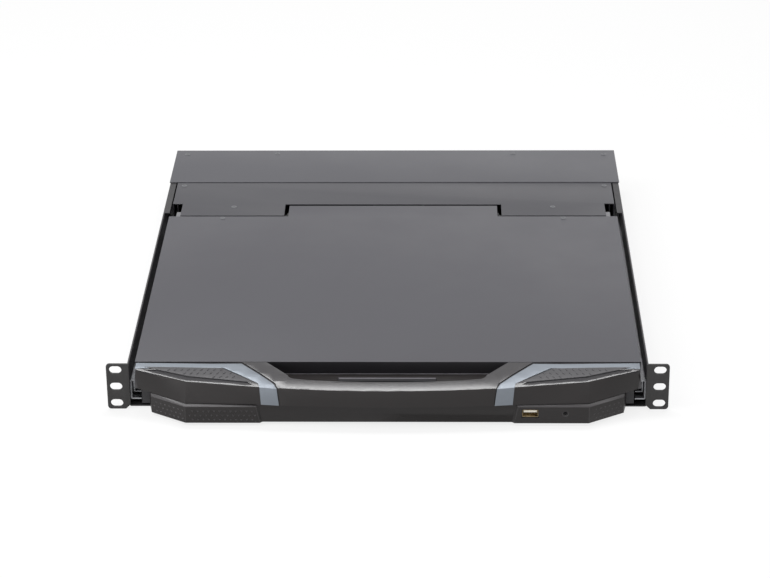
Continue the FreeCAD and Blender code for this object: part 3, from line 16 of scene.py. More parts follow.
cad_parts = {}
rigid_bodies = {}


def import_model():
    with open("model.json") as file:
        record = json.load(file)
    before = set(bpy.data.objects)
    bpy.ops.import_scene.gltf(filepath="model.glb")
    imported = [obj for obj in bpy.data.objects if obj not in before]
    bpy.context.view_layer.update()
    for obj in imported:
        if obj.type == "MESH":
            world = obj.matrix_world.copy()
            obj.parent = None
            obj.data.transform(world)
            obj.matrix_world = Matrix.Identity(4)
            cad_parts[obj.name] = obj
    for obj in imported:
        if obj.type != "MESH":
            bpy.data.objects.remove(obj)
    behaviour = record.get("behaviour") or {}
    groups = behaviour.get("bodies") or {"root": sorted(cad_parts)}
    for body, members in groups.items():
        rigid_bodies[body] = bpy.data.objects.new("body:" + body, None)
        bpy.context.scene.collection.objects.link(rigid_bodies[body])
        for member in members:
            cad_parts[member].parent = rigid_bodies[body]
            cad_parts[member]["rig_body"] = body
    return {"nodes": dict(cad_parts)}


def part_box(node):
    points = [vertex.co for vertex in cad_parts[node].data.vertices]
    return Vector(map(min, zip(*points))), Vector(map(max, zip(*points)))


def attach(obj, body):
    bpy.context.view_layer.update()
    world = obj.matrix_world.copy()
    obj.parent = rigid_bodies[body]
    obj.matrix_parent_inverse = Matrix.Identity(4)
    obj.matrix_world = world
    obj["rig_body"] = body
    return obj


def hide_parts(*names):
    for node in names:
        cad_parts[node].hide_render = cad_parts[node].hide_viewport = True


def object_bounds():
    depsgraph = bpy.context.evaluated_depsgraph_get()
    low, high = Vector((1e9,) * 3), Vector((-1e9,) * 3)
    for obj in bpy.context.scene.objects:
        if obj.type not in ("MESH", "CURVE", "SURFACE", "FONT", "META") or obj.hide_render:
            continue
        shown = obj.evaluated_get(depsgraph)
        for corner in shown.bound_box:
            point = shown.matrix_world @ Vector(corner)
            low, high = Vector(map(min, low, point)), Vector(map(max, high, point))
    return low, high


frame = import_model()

solid_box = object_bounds()
nodes = frame["nodes"]

# %% [markdown]
# Workshop sizes are in millimetres and Blender's are in metres, so one number turns the one into the other.
# Colours are written as they look on a screen. A shader wants them as amounts of light, so one function
# turns the written value into that.

# %% Millimetres and colours
MM = 0.001


def colour(written):
    """The light amounts of a colour that is written as #rrggbb."""
    shares = [int(written[place:place + 2], 16) / 255 for place in (1, 3, 5)]
    light = [share / 12.92 if share <= 0.04045 else ((share + 0.055) / 1.055) ** 2.4 for share in shares]
    return (*light, 1.0)


print("mid grey", [round(part, 3) for part in colour("#808080")])

# %% [markdown]
# A rack drawer is shown from a little above, so that the lid, the handle and the ears are all seen. A long
# lens far away keeps the sides nearly parallel. A camera can be made to follow a target, but then it can't
# lean; so its three axes are worked out from how far it looks down, how far it turns and how far it leans.

# %% Camera
camera_place = Vector((0.0407, -1.9104, 1.0037))
look_down = math.radians(25.49)
turn = math.radians(-1.258)
lean = math.radians(-0.526)
forward = Vector((math.sin(turn) * math.cos(look_down), math.cos(turn) * math.cos(look_down),
                  -math.sin(look_down)))
level_right = Vector((math.cos(turn), -math.sin(turn), 0.0))
level_up = level_right.cross(forward)
right = level_right * math.cos(lean) + level_up * math.sin(lean)
up = -level_right * math.sin(lean) + level_up * math.cos(lean)
camera_data = bpy.data.cameras.new("camera")
camera_data.lens = 117.9
camera_data.sensor_width = 36.0
camera_data.clip_start = 0.05
camera = bpy.data.objects.new("camera", camera_data)
camera.matrix_world = Matrix.Translation(camera_place) @ Matrix((right, up, -forward)).transposed().to_4x4()
bpy.context.scene.collection.objects.link(camera)
bpy.context.scene.camera = camera
bpy.context.scene.view_settings.view_transform = "Standard"
print("camera looks along", [round(part, 3) for part in forward])

# %% [markdown]
# Shaders and geometry trees are both made of nodes with settings, values and links. Nodes can be drawn by
# hand in an editor; in a script one small function adds a node with all three, so each recipe below reads as
# a list of its steps.

# %% One helper for every node
def add(tree, kind, values=None, feeds=None, **settings):
    """A new node in the tree, with its settings, its input values and what feeds its inputs."""
    node = tree.nodes.new(kind)
    for name, value in settings.items():
        setattr(node, name, value)
    for name, value in (values or {}).items():
        node.inputs[name].default_value = value
    for name, socket in (feeds or {}).items():
        tree.links.new(socket, node.inputs[name])
    return node


print("add:", add.__doc__)

# %% [markdown]
# ## The studio
# The drawer stands on a sheet of pale paper. A plain matt floor would be grey wherever the lamps are weak, so
# most of it glows by itself where the eye or a reflection meets it. What is left of the matt paper still
# takes the soft shadow under the drawer.

# %% Floor
def studio_floor(glow_share):
    """A pale floor that carries the shadow and melts into the white around it."""
    mesh = bpy.data.meshes.new("floor")
    reach = 6.0
    height = solid_box[0].z - 0.3 * MM
    mesh.from_pydata([(-reach, -reach, height), (reach, -reach, height), (reach, reach, height),
                      (-reach, reach, height)], [], [(0, 1, 2, 3)])
    floor = bpy.data.objects.new("floor", mesh)
    bpy.context.scene.collection.objects.link(floor)
    paper = bpy.data.materials.new("studio_paper")
    paper.use_nodes = True
    tree = paper.node_tree
    tree.nodes.clear()
    matt = add(tree, "ShaderNodeBsdfDiffuse", {"Color": colour("#f4f4f4")})
    glow = add(tree, "ShaderNodeEmission", {"Color": (1, 1, 1, 1), "Strength": 1.0})
    path = add(tree, "ShaderNodeLightPath")
    seen = add(tree, "ShaderNodeMath", operation="MAXIMUM",
               feeds={0: path.outputs["Is Camera Ray"], 1: path.outputs["Is Glossy Ray"]})
    share = add(tree, "ShaderNodeMath", {1: glow_share}, {0: seen.outputs[0]}, operation="MULTIPLY")
    mixed = add(tree, "ShaderNodeMixShader", feeds={0: share.outputs[0], 1: matt.outputs[0],
                                                    2: glow.outputs[0]})
    add(tree, "ShaderNodeOutputMaterial", feeds={"Surface": mixed.outputs[0]})
    mesh.materials.append(paper)
    print("floor", round(height / MM, 1), "mm high, reaching", reach, "m")


studio_floor(0.8)

# %% [markdown]
# The world is the room around the studio. It is white where it is seen, mirrored or looked at through glass,
# and a calmer grey where it works as a lamp, so that the lamps below can still draw the form. One way is two
# worlds in two renders; the Light Path node does it in one.

# %% World
def studio_world(lamp_level):
    """White where it is seen or reflected, a calmer level where it lights."""
    world = bpy.data.worlds.new("studio")
    bpy.context.scene.world = world
    world.use_nodes = True
    tree = world.node_tree
    tree.nodes.clear()
    path = add(tree, "ShaderNodeLightPath")
    seen = add(tree, "ShaderNodeMath", operation="MAXIMUM",
               feeds={0: path.outputs["Is Camera Ray"], 1: path.outputs["Is Glossy Ray"]})
    through = add(tree, "ShaderNodeMath", operation="MAXIMUM",
                  feeds={0: seen.outputs[0], 1: path.outputs["Is Transmission Ray"]})
    level = add(tree, "ShaderNodeMapRange", {"To Min": lamp_level, "To Max": 1.0},
                {"Value": through.outputs[0]})
    sky = add(tree, "ShaderNodeBackground", {"Color": (1, 1, 1, 1)}, {"Strength": level.outputs[0]})
    add(tree, "ShaderNodeOutputWorld", feeds={"Surface": sky.outputs[0]})


studio_world(0.27)
print("world", bpy.context.scene.world.name)

# %% [markdown]
# A wide soft box hangs above and behind, so that faces that look up are bright and faces that look forward
# stay dark, which is what makes the folded edges of the handle read. Weaker boxes at the sides and in front
# keep the dark faces from going black. Area lamps are used because their size sets how soft a shadow is.

# %% Soft boxes
def soft_box(name, place, aim, width, depth, power):
    """A wide lamp that looks at a point."""
    data = bpy.data.lights.new(name, "AREA")
    data.shape = "RECTANGLE"
    data.size = width
    data.size_y = depth
    data.energy = power
    lamp = bpy.data.objects.new(name, data)
    lamp.location = place
    lamp.rotation_euler = (Vector(aim) - Vector(place)).to_track_quat("-Z", "Y").to_euler()
    bpy.context.scene.collection.objects.link(lamp)


# name, place and aim in metres, width and depth of the box, power in watts
soft_box("soft_box_top", (0.0, 0.8, 2.3), (0.0, 0.0, 0.0), 2.0, 0.55, 36.0)
soft_box("soft_box_side", (-1.35, -0.35, 1.6), (-0.1, 0.0, 0.0), 0.8, 0.8, 14.0)
soft_box("soft_box_right", (1.35, -0.35, 1.6), (0.1, 0.0, 0.0), 0.8, 0.8, 4.0)
soft_box("soft_box_front", (-0.5, -1.15, 2.1), (-0.1, 0.0, 0.0), 1.3, 0.8, 11.0)
soft_box("soft_box_low", (-1.3, -1.6, 0.5), (-0.15, 0.0, 0.0), 0.7, 0.5, 4.0)

# %% [markdown]
# ## Finishes
# A finish starts from a base: a colour, how rough it is, whether it is metal, and how strongly it mirrors.
# One shader node, the Principled one, can stand for paint, plastic, metal and glass, so all finishes share it
# and differ in their numbers. Patterns are laid out in the object's own space, so nothing is unwrapped.

# %% The base of a finish
finishes = {}


def base_finish(name, written, roughness, metallic=0.0, coat=0.0, mirror=0.5):
    """A material with one shader, ready for its pattern. Gives the material, tree, shader and place."""
    finish = bpy.data.materials.new(name)
    finish.use_nodes = True
    finish.diffuse_color = colour(written)
    tree = finish.node_tree
    tree.nodes.clear()
    shader = add(tree, "ShaderNodeBsdfPrincipled",
                 {"Base Color": colour(written), "Roughness": roughness, "Metallic": metallic,
                  "Specular IOR Level": mirror, "Coat Weight": coat, "Coat Roughness": 0.25})
    add(tree, "ShaderNodeOutputMaterial", feeds={"Surface": shader.outputs[0]})
    place = add(tree, "ShaderNodeTexCoord").outputs["Object"]
    return finish, tree, shader, place


print("base_finish:", base_finish.__doc__)

# %% [markdown]
# No large surface is one even colour, nor equally smooth all over. A slow drift in tone keeps a sheet from
# looking like flat ink, and a slow drift in roughness breaks its reflection. Both are clouds of noise whose
# size is given in millimetres, and both are faint.

# %% Drifts in tone and in roughness
def drift(tree, shader, place, low, high, size_mm, detail=2.0):
    """A slow change of tone between two colours, over the given size."""
    cloud = add(tree, "ShaderNodeTexNoise", {"Scale": 1 / (size_mm * MM), "Detail": detail},
                {"Vector": place})
    mix = add(tree, "ShaderNodeMix", feeds={"Factor": cloud.outputs["Fac"]}, data_type="RGBA")
    mix.inputs[6].default_value = colour(low)
    mix.inputs[7].default_value = colour(high)
    tree.links.new(mix.outputs[2], shader.inputs["Base Color"])


def rough_drift(tree, shader, place, low, high, size_mm):
    """Roughness that changes a little from place to place, as handled and sprayed surfaces do."""
    cloud = add(tree, "ShaderNodeTexNoise", {"Scale": 1 / (size_mm * MM), "Detail": 3.0},
                {"Vector": place})
    span = add(tree, "ShaderNodeMapRange", {"From Min": 0.3, "From Max": 0.7, "To Min": low, "To Max": high},
               {"Value": cloud.outputs["Fac"]})
    tree.links.new(span.outputs[0], shader.inputs["Roughness"])


print("drift:", drift.__doc__)

# %% [markdown]
# A fine relief gives a surface its tooth: the orange peel of paint, the grain of powder coat or the spark
# texture of a mould. It is only hundredths of a millimetre deep, so it isn't modelled; a Bump node tilts the
# light instead. A real tooth is often a tenth of a millimetre wide, too fine to show from two metres away, so
# each one below is drawn a few times coarser than it is.

# %% Tooth
def tooth(tree, shader, place, grain_mm, height_mm, strength=1.0, detail=1.0):
    """A fine all-over relief with the given grain."""
    grain = add(tree, "ShaderNodeTexNoise", {"Scale": 1 / (grain_mm * MM), "Detail": detail},
                {"Vector": place})
    bump = add(tree, "ShaderNodeBump", {"Strength": strength, "Distance": height_mm * MM},
               {"Height": grain.outputs["Fac"]})
    tree.links.new(bump.outputs[0], shader.inputs["Normal"])


print("tooth:", tooth.__doc__)

# %% [markdown]
# ## Painted steel
# The lid, the strip behind it, the rear cover and the tray are folded sheet steel with a baked satin paint.
# Such paint is smooth enough to mirror the sky softly, with a faint orange peel. The peel is drawn 1.6 mm
# wide, and the tone drifts over the width of a hand.

# %% Satin paints
def satin_paint(name, low, high, roughness):
    """Baked satin paint: an even colour, a soft reflection and a faint orange peel."""
    finish, tree, shader, place = base_finish(name, low, roughness)
    drift(tree, shader, place, low, high, size_mm=140)
    rough_drift(tree, shader, place, roughness - 0.03, roughness + 0.03, size_mm=60)
    tooth(tree, shader, place, grain_mm=1.6, height_mm=0.004, strength=0.6)
    finishes[name] = finish


# name, two tones and roughness
# the lid: a cool dark grey that mirrors the sky as one soft sheen
satin_paint("satin_paint_lid", "#3d3c42", "#404046", 0.42)
# the strip: the same paint, a touch darker
satin_paint("satin_paint_strip", "#3a393e", "#3d3d42", 0.42)
# the rear cover: the palest of the three, so that it reads as a sheet of its own
satin_paint("satin_paint_cover", "#47474c", "#4c4c51", 0.44)
# the tray and the display frame: thinly sprayed and duller
satin_paint("satin_paint_tray", "#2c2b2e", "#302f32", 0.5)
print("satin paints", sorted(finishes))

# %% [markdown]
# The pan, the ears and the hinge parts in the notches have a textured powder coat: dry powder that was
# sprayed on and baked into small grains. The hinge parts are made nearly black, which paints shade into the
# notches. It differs from the satin paint in being rougher and in its deeper, finer tooth of 0.6 mm, which
# takes away every mirror image.

# %% Powder coats
def powder_coat(name, low, high, roughness, grain_mm):
    """Textured powder coat: matt, with a tooth that catches small lights."""
    finish, tree, shader, place = base_finish(name, low, roughness)
    drift(tree, shader, place, low, high, size_mm=30, detail=4.0)
    rough_drift(tree, shader, place, roughness - 0.06, roughness + 0.06, size_mm=3)
    tooth(tree, shader, place, grain_mm, height_mm=0.05, strength=0.5, detail=2.0)
    finishes[name] = finish


# the pan: charcoal grains that take all shine from its long sides
powder_coat("powder_coat_pan", "#2a292b", "#2e2d2f", 0.55, 0.6)
# the hinge parts in the notches: nearly black as painted shade, so that the notches look deep
powder_coat("powder_coat_hinge_shade", "#1c1c1d", "#202021", 0.6, 0.6)
# the ears: dark and dry, so that the slots stand out against them
powder_coat("powder_coat_ears", "#272626", "#2b2a2a", 0.6, 0.6)
print("powder coats", [name for name in finishes if name.startswith("powder")])

# %% [markdown]
# ## Moulded plastic
# The handle and the front are moulded in ABS. The mould is spark eroded, which leaves a very fine even
# grain. It is one dark plastic nearly everywhere; what differs is how far hands have polished it, and where
# light and shade are painted on: paler finishes paint highlights on edges, lips and studs, and darker ones
# paint shade on deep faces. So each kind of face has a finish of its own.

# %% Moulded ABS
def moulded_abs(name, low, high, roughness, grain_mm=0.5, height_mm=0.03, mirror=0.5):
    """Moulded ABS with a spark texture: dark, dry and even."""
    finish, tree, shader, place = base_finish(name, low, roughness, mirror=mirror)
    drift(tree, shader, place, low, high, size_mm=45)
    rough_drift(tree, shader, place, roughness - 0.02, roughness + 0.02, size_mm=8)
    tooth(tree, shader, place, grain_mm, height_mm, strength=0.5)
    finishes[name] = finish


# name, two tones, roughness, grain and its height in millimetres, and how strongly it mirrors
# the handle's top: hands have polished it, so it carries a long pale sheen on dark plastic
moulded_abs("abs_handle", "#1f1c20", "#211e22", 0.25, 1.2, 0.0003, 0.75)
# rounds and chamfers: a little paler as a painted highlight, they draw a thin line along each fold
moulded_abs("abs_painted_edge_highlight", "#3a3739", "#3e3b3d", 0.32, 0.6, 0.002, 0.5)
# the rear lip of the pocket's floor and of the release bar: a painted highlight, a pale line in the dark
moulded_abs("abs_painted_highlight", "#858388", "#8a888d", 0.4, 0.6, 0.002, 0.5)
# walls and seats inside the handle, the lid's front edge and the release bar: painted shade that swallows
# light, so that gaps read as gaps
moulded_abs("abs_painted_shade", "#232225", "#262528", 0.5, 0.5, 0.01, 0.25)
# the reset button: almost black, a painted shade at the end of its hole
moulded_abs("abs_reset_painted_shade", "#0d0d0e", "#101011", 0.7, 0.5, 0.002, 0.2)
# the printed letters: a dry pale grey
moulded_abs("legend_ink", "#c9c9c6", "#d2d2cf", 0.5, 0.4, 0.002)
# the studs of the lower front: a painted highlight, a little paler than their panel, so that each one
# can be counted
moulded_abs("abs_stud_painted_highlight", "#363335", "#3b383a", 0.48, 0.5, 0.004, 0.4)
# the faces that look forward: warm, dark and calm
moulded_abs("abs_front", "#211e1e", "#242121", 0.4, 0.5, 0.01, 0.34)
# the grips: a grey that is dry to the touch, with a coarser grain
moulded_abs("abs_grip", "#38373a", "#3b3a3d", 0.5, 0.8, 0.03)
# the tongue of the front socket: ivory, the one warm light spot of the front
moulded_abs("socket_ivory", "#f6f0e0", "#fbf6ea", 0.4, 0.5, 0.01)
# the keyboard deck: an even charcoal
moulded_abs("abs_deck", "#29282a", "#2d2c2e", 0.5)
# the key caps: darker than the deck, with a fine grain
moulded_abs("abs_key", "#1f1f20", "#232324", 0.48, 0.35, 0.02)
# hidden plastic such as the base and the bottom of the handle
moulded_abs("abs_black", "#1b1b1c", "#1f1f20", 0.45)
print("plastics", [name for name in finishes if name.startswith("abs")])

# %% [markdown]
# ## Bare and plated metal
# The slides and the ball cages are steel with a bright zinc plate. Zinc grows on the steel in a bath and
# breaks up light in a faint cloudy way, so both of its drifts are stronger and smaller than paint's. Metals
# keep the default IOR, and their colour comes from the base colour alone.

# %% Zinc plate
def plated_zinc(name, low, high, roughness):
    """Bright zinc plate: metal, slightly clouded."""
    finish, tree, shader, place = base_finish(name, low, roughness, metallic=1.0)
    drift(tree, shader, place, low, high, size_mm=12, detail=4.0)
    rough_drift(tree, shader, place, roughness - 0.08, roughness + 0.1, size_mm=6)
    tooth(tree, shader, place, grain_mm=2.0, height_mm=0.004, strength=0.4)
    finishes[name] = finish


# the slides: bright but cloudy
plated_zinc("zinc_plate", "#9b9c9f", "#acadb0", 0.42)
# the ball cages: the same plate, warmer and a little smoother
plated_zinc("steel_retainer", "#8d8b86", "#a19f99", 0.38)
print("plated", [name for name in finishes if name in ("zinc_plate", "steel_retainer")])

# %% [markdown]
# The hinge arms and the shells of the sockets are rolled or drawn, which leaves fine lines along the way the
# metal was pulled. Such lines are a noise that is stretched along one axis: a Mapping node shrinks the place
# along that axis before the noise reads it. The same lines serve as tone and as tooth. A screw's head shows
# no lines, so its noise isn't stretched.

# %% Drawn steel and brass
def drawn_steel(name, low, high, roughness, stretch):
    """Rolled or drawn steel: fine lines along one direction."""
    finish, tree, shader, place = base_finish(name, low, roughness, metallic=1.0)
    long_way = add(tree, "ShaderNodeMapping", {"Scale": stretch}, {"Vector": place})
    drift(tree, shader, long_way.outputs[0], low, high, size_mm=0.8)
    tooth(tree, shader, long_way.outputs[0], grain_mm=0.4, height_mm=0.006, strength=0.5)
    finishes[name] = finish


# the hinge arms and their outer brackets: grey bar with lines along its length
drawn_steel("hinge_steel", "#77777a", "#8d8d90", 0.4, (0.05, 1.0, 1.0))
# the screw heads: a dull grey that hardly stands out from the paint
drawn_steel("steel_screw", "#6f7073", "#828386", 0.35, (1.0, 1.0, 1.0))
# the rear socket's shell: bright tinned steel
drawn_steel("socket_steel", "#b6b7ba", "#cacbce", 0.26, (1.0, 1.0, 0.1))
# the front socket's shell: a thin golden plate
drawn_steel("socket_brass", "#96876a", "#a89878", 0.3, (1.0, 1.0, 0.1))
print("drawn", [name for name in finishes if name in ("hinge_steel", "steel_screw", "socket_steel",
                                                      "socket_brass")])

# %% [markdown]
# The blades on the handle are a silver-blue metallic paint: a thin clear coat over flakes, half metal and
# half paint to the eye. A Voronoi texture cuts the surface into cells and makes each a little rougher than
# the next, as flakes lie at slightly different angles. Real flakes are too fine to show, so these are drawn
# half a millimetre wide.

# %% Metallic paint
def flake_paint(name, low, high, roughness):
    """Silver-blue metallic paint: flakes under a clear coat."""
    finish, tree, shader, place = base_finish(name, low, roughness, metallic=0.5, coat=0.1)
    drift(tree, shader, place, low, high, size_mm=1.2, detail=3.0)
    flakes = add(tree, "ShaderNodeTexVoronoi", {"Scale": 1 / (0.5 * MM)}, {"Vector": place})
    span = add(tree, "ShaderNodeMapRange", {"To Min": roughness - 0.06, "To Max": roughness + 0.08},
               {"Value": flakes.outputs["Distance"]})
    tree.links.new(span.outputs[0], shader.inputs["Roughness"])
    tooth(tree, shader, place, grain_mm=0.7, height_mm=0.003, strength=0.35)
    finishes[name] = finish


# the blades: cool silver that is brightest along its fold
flake_paint("flake_paint_silver", "#72787f", "#7a8088", 0.42)
print("finishes so far", len(finishes))

# %% [markdown]
# ## Screen, boards and sockets
# The screen is dark glass with a matt coat over a dark picture area, so it shows a soft, dull reflection.
# Its picture dots are about 0.3 mm apart, too fine to show, and are drawn at 0.6 mm as the joints of a very
# shallow brick pattern.

# %% Screen glass
def screen_glass():
    """Switched-off picture glass with a matt coat and a very faint grid of dots."""
    finish, tree, shader, place = base_finish("matt_screen_glass", "#0e0f12", 0.28, coat=0.3)
    drift(tree, shader, place, "#0c0d10", "#121317", size_mm=90)
    grid = add(tree, "ShaderNodeTexBrick", {"Scale": 1 / (1.2 * MM), "Mortar Size": 0.03,
                                            "Brick Width": 0.5, "Row Height": 0.5}, {"Vector": place})
    bump = add(tree, "ShaderNodeBump", {"Strength": 0.15, "Distance": 0.004 * MM},
               {"Height": grid.outputs["Fac"]})
    tree.links.new(bump.outputs[0], shader.inputs["Normal"])
    finishes["matt_screen_glass"] = finish


screen_glass()
print("screen", finishes["matt_screen_glass"].name)

# %% [markdown]
# A circuit board is green lacquer over copper tracks. The board and its parts are one solid each, so the
# finish has to tell them apart: whatever stands higher than the board's own thickness is black plastic. The
# tracks could be drawn one by one, but a brick pattern with low joints gives the same busy straight lines.

# %% Board lacquer
def board_lacquer(name, node, thick_mm, upward=1):
    """Green board lacquer with tracks; what stands off the board is black."""
    finish, tree, shader, place = base_finish(name, "#12402c", 0.32)
    low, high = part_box(node)
    face = low.z + thick_mm * MM if upward > 0 else high.z - thick_mm * MM
    tracks = add(tree, "ShaderNodeTexBrick", {"Scale": 1 / (9 * MM), "Mortar Size": 0.04,
                                              "Mortar Smooth": 0.1, "Brick Width": 0.62, "Row Height": 0.21,
                                              "Color1": colour("#12402c"), "Color2": colour("#164a33"),
                                              "Mortar": colour("#2b6a4c")}, {"Vector": place})
    axes = add(tree, "ShaderNodeSeparateXYZ", feeds={0: place})
    above = add(tree, "ShaderNodeMath", {1: face + upward * 0.1 * MM}, {0: axes.outputs[2]},
                operation="GREATER_THAN" if upward > 0 else "LESS_THAN")
    mix = add(tree, "ShaderNodeMix", feeds={"Factor": above.outputs[0]}, data_type="RGBA")
    tree.links.new(tracks.outputs["Color"], mix.inputs[6])
    mix.inputs[7].default_value = colour("#1c1c1e")
    tree.links.new(mix.outputs[2], shader.inputs["Base Color"])
    bump = add(tree, "ShaderNodeBump", {"Strength": 0.5, "Distance": 0.03 * MM},
               {"Height": tracks.outputs["Fac"]})
    tree.links.new(bump.outputs[0], shader.inputs["Normal"])
    finishes[name] = finish


board_thickness = 1.6
board_lacquer("board_lacquer_main", "main_board", board_thickness)
board_lacquer("board_lacquer_front", "front_io_board", board_thickness)
board_lacquer("board_lacquer_driver", "lcd_driver_board", board_thickness, -1)
print("boards", [name for name in finishes if name.startswith("board")])

# %% [markdown]
# A few small parts have a plastic of their own. They use the recipe of the handle's ABS with other numbers:
# a smooth film, a glossy black and a blue.

# %% Touchpad and socket plastics
# the touchpad: a smooth film on which a finger slides
moulded_abs("touch_film", "#262628", "#29292b", 0.34, 0.9, 0.01)
# the mains inlet, the rocker and the display's keys: black and slightly glossy
moulded_abs("socket_plastic", "#161617", "#1a1a1b", 0.4, 0.4, 0.01)
# the video socket: the blue that such a socket has everywhere
moulded_abs("socket_blue", "#1f3c86", "#234391", 0.42, 0.4, 0.01)
print("finishes", len(finishes))

# %% [markdown]
# ## Dressing
# Every solid of the model is given its finish in one table: the name of a finish, then the nodes that wear
# it. A node that isn't in the table stops the script, so nothing stays grey by mistake.

# %% Dress the solids
wardrobe = {
    "powder_coat_pan": ["chassis_pan", "rear_panel"],
    "satin_paint_cover": ["rear_cover"],
    "powder_coat_ears": ["right_rack_ear", "left_rack_ear"],
    "satin_paint_tray": ["drawer_tray", "lid_frame"],
    "satin_paint_lid": ["lid_cover"],
    "satin_paint_strip": ["hinge_cover"],
    "zinc_plate": ["right_slide_outer", "left_slide_outer", "right_slide_middle", "left_slide_middle",
                   "right_slide_inner", "left_slide_inner", "power_supply", "lcd_backlight"],
    "steel_retainer": ["right_outer_ball_cage", "left_outer_ball_cage", "right_inner_ball_cage",
                       "left_inner_ball_cage"],
    "hinge_steel": ["outer_hinge_brackets", "hinge_arms"],
    # the inner brackets and pins: nearly black as painted shade in the notches
    "powder_coat_hinge_shade": ["inner_hinge_brackets", "hinge_pins"],
    "socket_steel": ["uplink_socket"],
    "socket_brass": ["usb_socket"],
    "abs_deck": ["keyboard_deck", "touch_frame"],
    "abs_black": ["key_guide_plate", "keyboard_base", "handle_bottom_plate"],
    # the release bar: dark painted shade in the pocket
    "abs_painted_shade": ["release_bar"],
    # the reset button: painted shade at the end of its hole
    "abs_reset_painted_shade": ["reset_button"],
    "touch_film": ["touchpad"],
    "abs_handle": ["handle_bezel"],
    "abs_front": ["lower_bezel"],
    "abs_grip": ["grip_inserts"],
    "flake_paint_silver": ["right_accent_strip", "left_accent_strip"],
    "matt_screen_glass": ["lcd_screen"],
    "board_lacquer_main": ["main_board"],
    "board_lacquer_front": ["front_io_board"],
    "board_lacquer_driver": ["lcd_driver_board"],
    "socket_plastic": ["power_inlet", "power_rocker", "osd_buttons"],
    "socket_blue": ["vga_socket"],
    "abs_key": ["function_row_keys", "number_row_keys", "upper_row_keys", "home_row_keys", "lower_row_keys",
                "bottom_row_keys", "space_bar", "navigation_keys", "numpad_keys", "right_touch_button",
                "left_touch_button"],
}
finish_of = {node: finish for finish, members in wardrobe.items() for node in members}


def wear(piece, finish):
    """Gives a piece one finish."""
    piece.data.materials.clear()
    piece.data.materials.append(finishes[finish])


for node, item in nodes.items():
    wear(item, finish_of[node])
print("dressed", len(finish_of), "of", len(nodes))

# %% [markdown]
# ## Soft edges
# No real edge is a knife. Folded sheet has a bend radius and moulded plastic a small round, and it is these
# narrow rounds that catch the light and draw the form. A solid from CAD has sharp edges made of loose
# triangles, so each piece that shows is copied, merged into whole flat faces, and given a Bevel modifier that
# rounds only its sharp corners. The copy then stands for the solid. The rounds could be cut in the solid too,
# but there each of them would have to be picked by hand.

# %% Whole faces
def whole_faces(node):
    """A node's mesh, open for editing, with its loose triangles joined into whole flat faces."""
    shape = bmesh.new()
    shape.from_mesh(nodes[node].data)
    bmesh.ops.remove_doubles(shape, verts=shape.verts, dist=0.002 * MM)
    bmesh.ops.dissolve_limit(shape, angle_limit=math.radians(0.6), verts=shape.verts, edges=shape.edges)
    return shape


print("lid cover faces", len(nodes["lid_cover"].data.polygons), "->", len(whole_faces("lid_cover").faces))

# %% [markdown]
# The handle's top is one slope in the solid. On the real moulding it is crowned: nearly flat beside the lid,
# then falling faster towards its front edge, which is why light gathers there. The crown is added to copies
# of every piece that shares that top, by one rule, so that they still meet. The rule needs the front edge's
# line, and the outer points of the handle, seen from above, give it.

# %% Front line of the handle
lid_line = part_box("lid_cover")[0].y
top_slope = 0.2063  # how steeply the handle's top climbs towards the lid


def is_top(face):
    """True on the sloping top of the handle and of what is let into it."""
    return 0.9 < face.normal.z < 0.995 and face.calc_center_median().y < lid_line


def front_line():
    """The handle's front edge from the middle outwards: the outer side of its top seen from above."""
    shape = whole_faces("handle_bezel")
    points = sorted({(round(abs(vert.co.x), 5), round(vert.co.y, 5))
                     for face in shape.faces if is_top(face) for vert in face.verts})
    shape.free()
    line = []
    for point in points:
        while len(line) > 1 and ((line[-1][0] - line[-2][0]) * (point[1] - line[-2][1])
                                 <= (line[-1][1] - line[-2][1]) * (point[0] - line[-2][0])):
            line.pop()
        line.append(point)
    return line


front_edge = front_line()
print("front edge", [(round(x / MM), round(y / MM, 1)) for x, y in front_edge][::4])

# %% [markdown]
# The crown adds nothing at the lid and nothing at the front edge, and most at about two thirds of the way
# there: a share s of the way gives s - s^4. To bend, a flat face needs points to bend at, so it is first cut
# into small fields.

# %% Crown of the handle
crown_steepness = 0.06
field_wide, field_deep = 12, 2.4


def front_edge_y(x):
    """How far forward the top reaches at a distance from the middle."""
    x = abs(x)
    for (x0, y0), (x1, y1) in zip(front_edge, front_edge[1:]):
        if x <= x1:
            return y0 + (y1 - y0) * (x - x0) / max(x1 - x0, 1e-6)
    return front_edge[-1][1]


def crown_lift(x, y):
    """Height added at a point of the top: none at the lid and at the front edge."""
    reach = lid_line - front_edge_y(x)
    share = min(max((lid_line - y) / max(reach, 1e-4), 0.0), 1.0)
    return crown_steepness * reach * (share - share ** 4)


def crown(shape):
    """Cuts the top into small fields and raises them to the crown."""
    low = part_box("handle_bezel")[0]
    cuts = [((0, low.y + step * field_deep * MM, 0), (0, 1, 0)) for step in range(1, 19)]
    cuts += [((low.x + step * field_wide * MM, 0, 0), (1, 0, 0)) for step in range(1, 37)]
    for place, way in cuts:
        top = [face for face in shape.faces if is_top(face)]
        parts = top + list({edge for face in top for edge in face.edges}
                           | {vert for face in top for vert in face.verts})
        bmesh.ops.bisect_plane(shape, geom=parts, dist=1e-6, plane_co=place, plane_no=way)
    for vert in {vert for face in shape.faces if is_top(face) for vert in face.verts}:
        vert.co.z += crown_lift(vert.co.x, vert.co.y)


middle_lift = max(crown_lift(0, step * MM) for step in range(-30, 8))
print("most lift in the middle", round(middle_lift / MM, 2), "mm")

# %% [markdown]
# A copy is worked on as an open mesh, where faces can be cut and sides moved. Laid down, it is an object of
# its own with one finish. Its faces are shaded smooth, so that its rounds look round and not like facets.

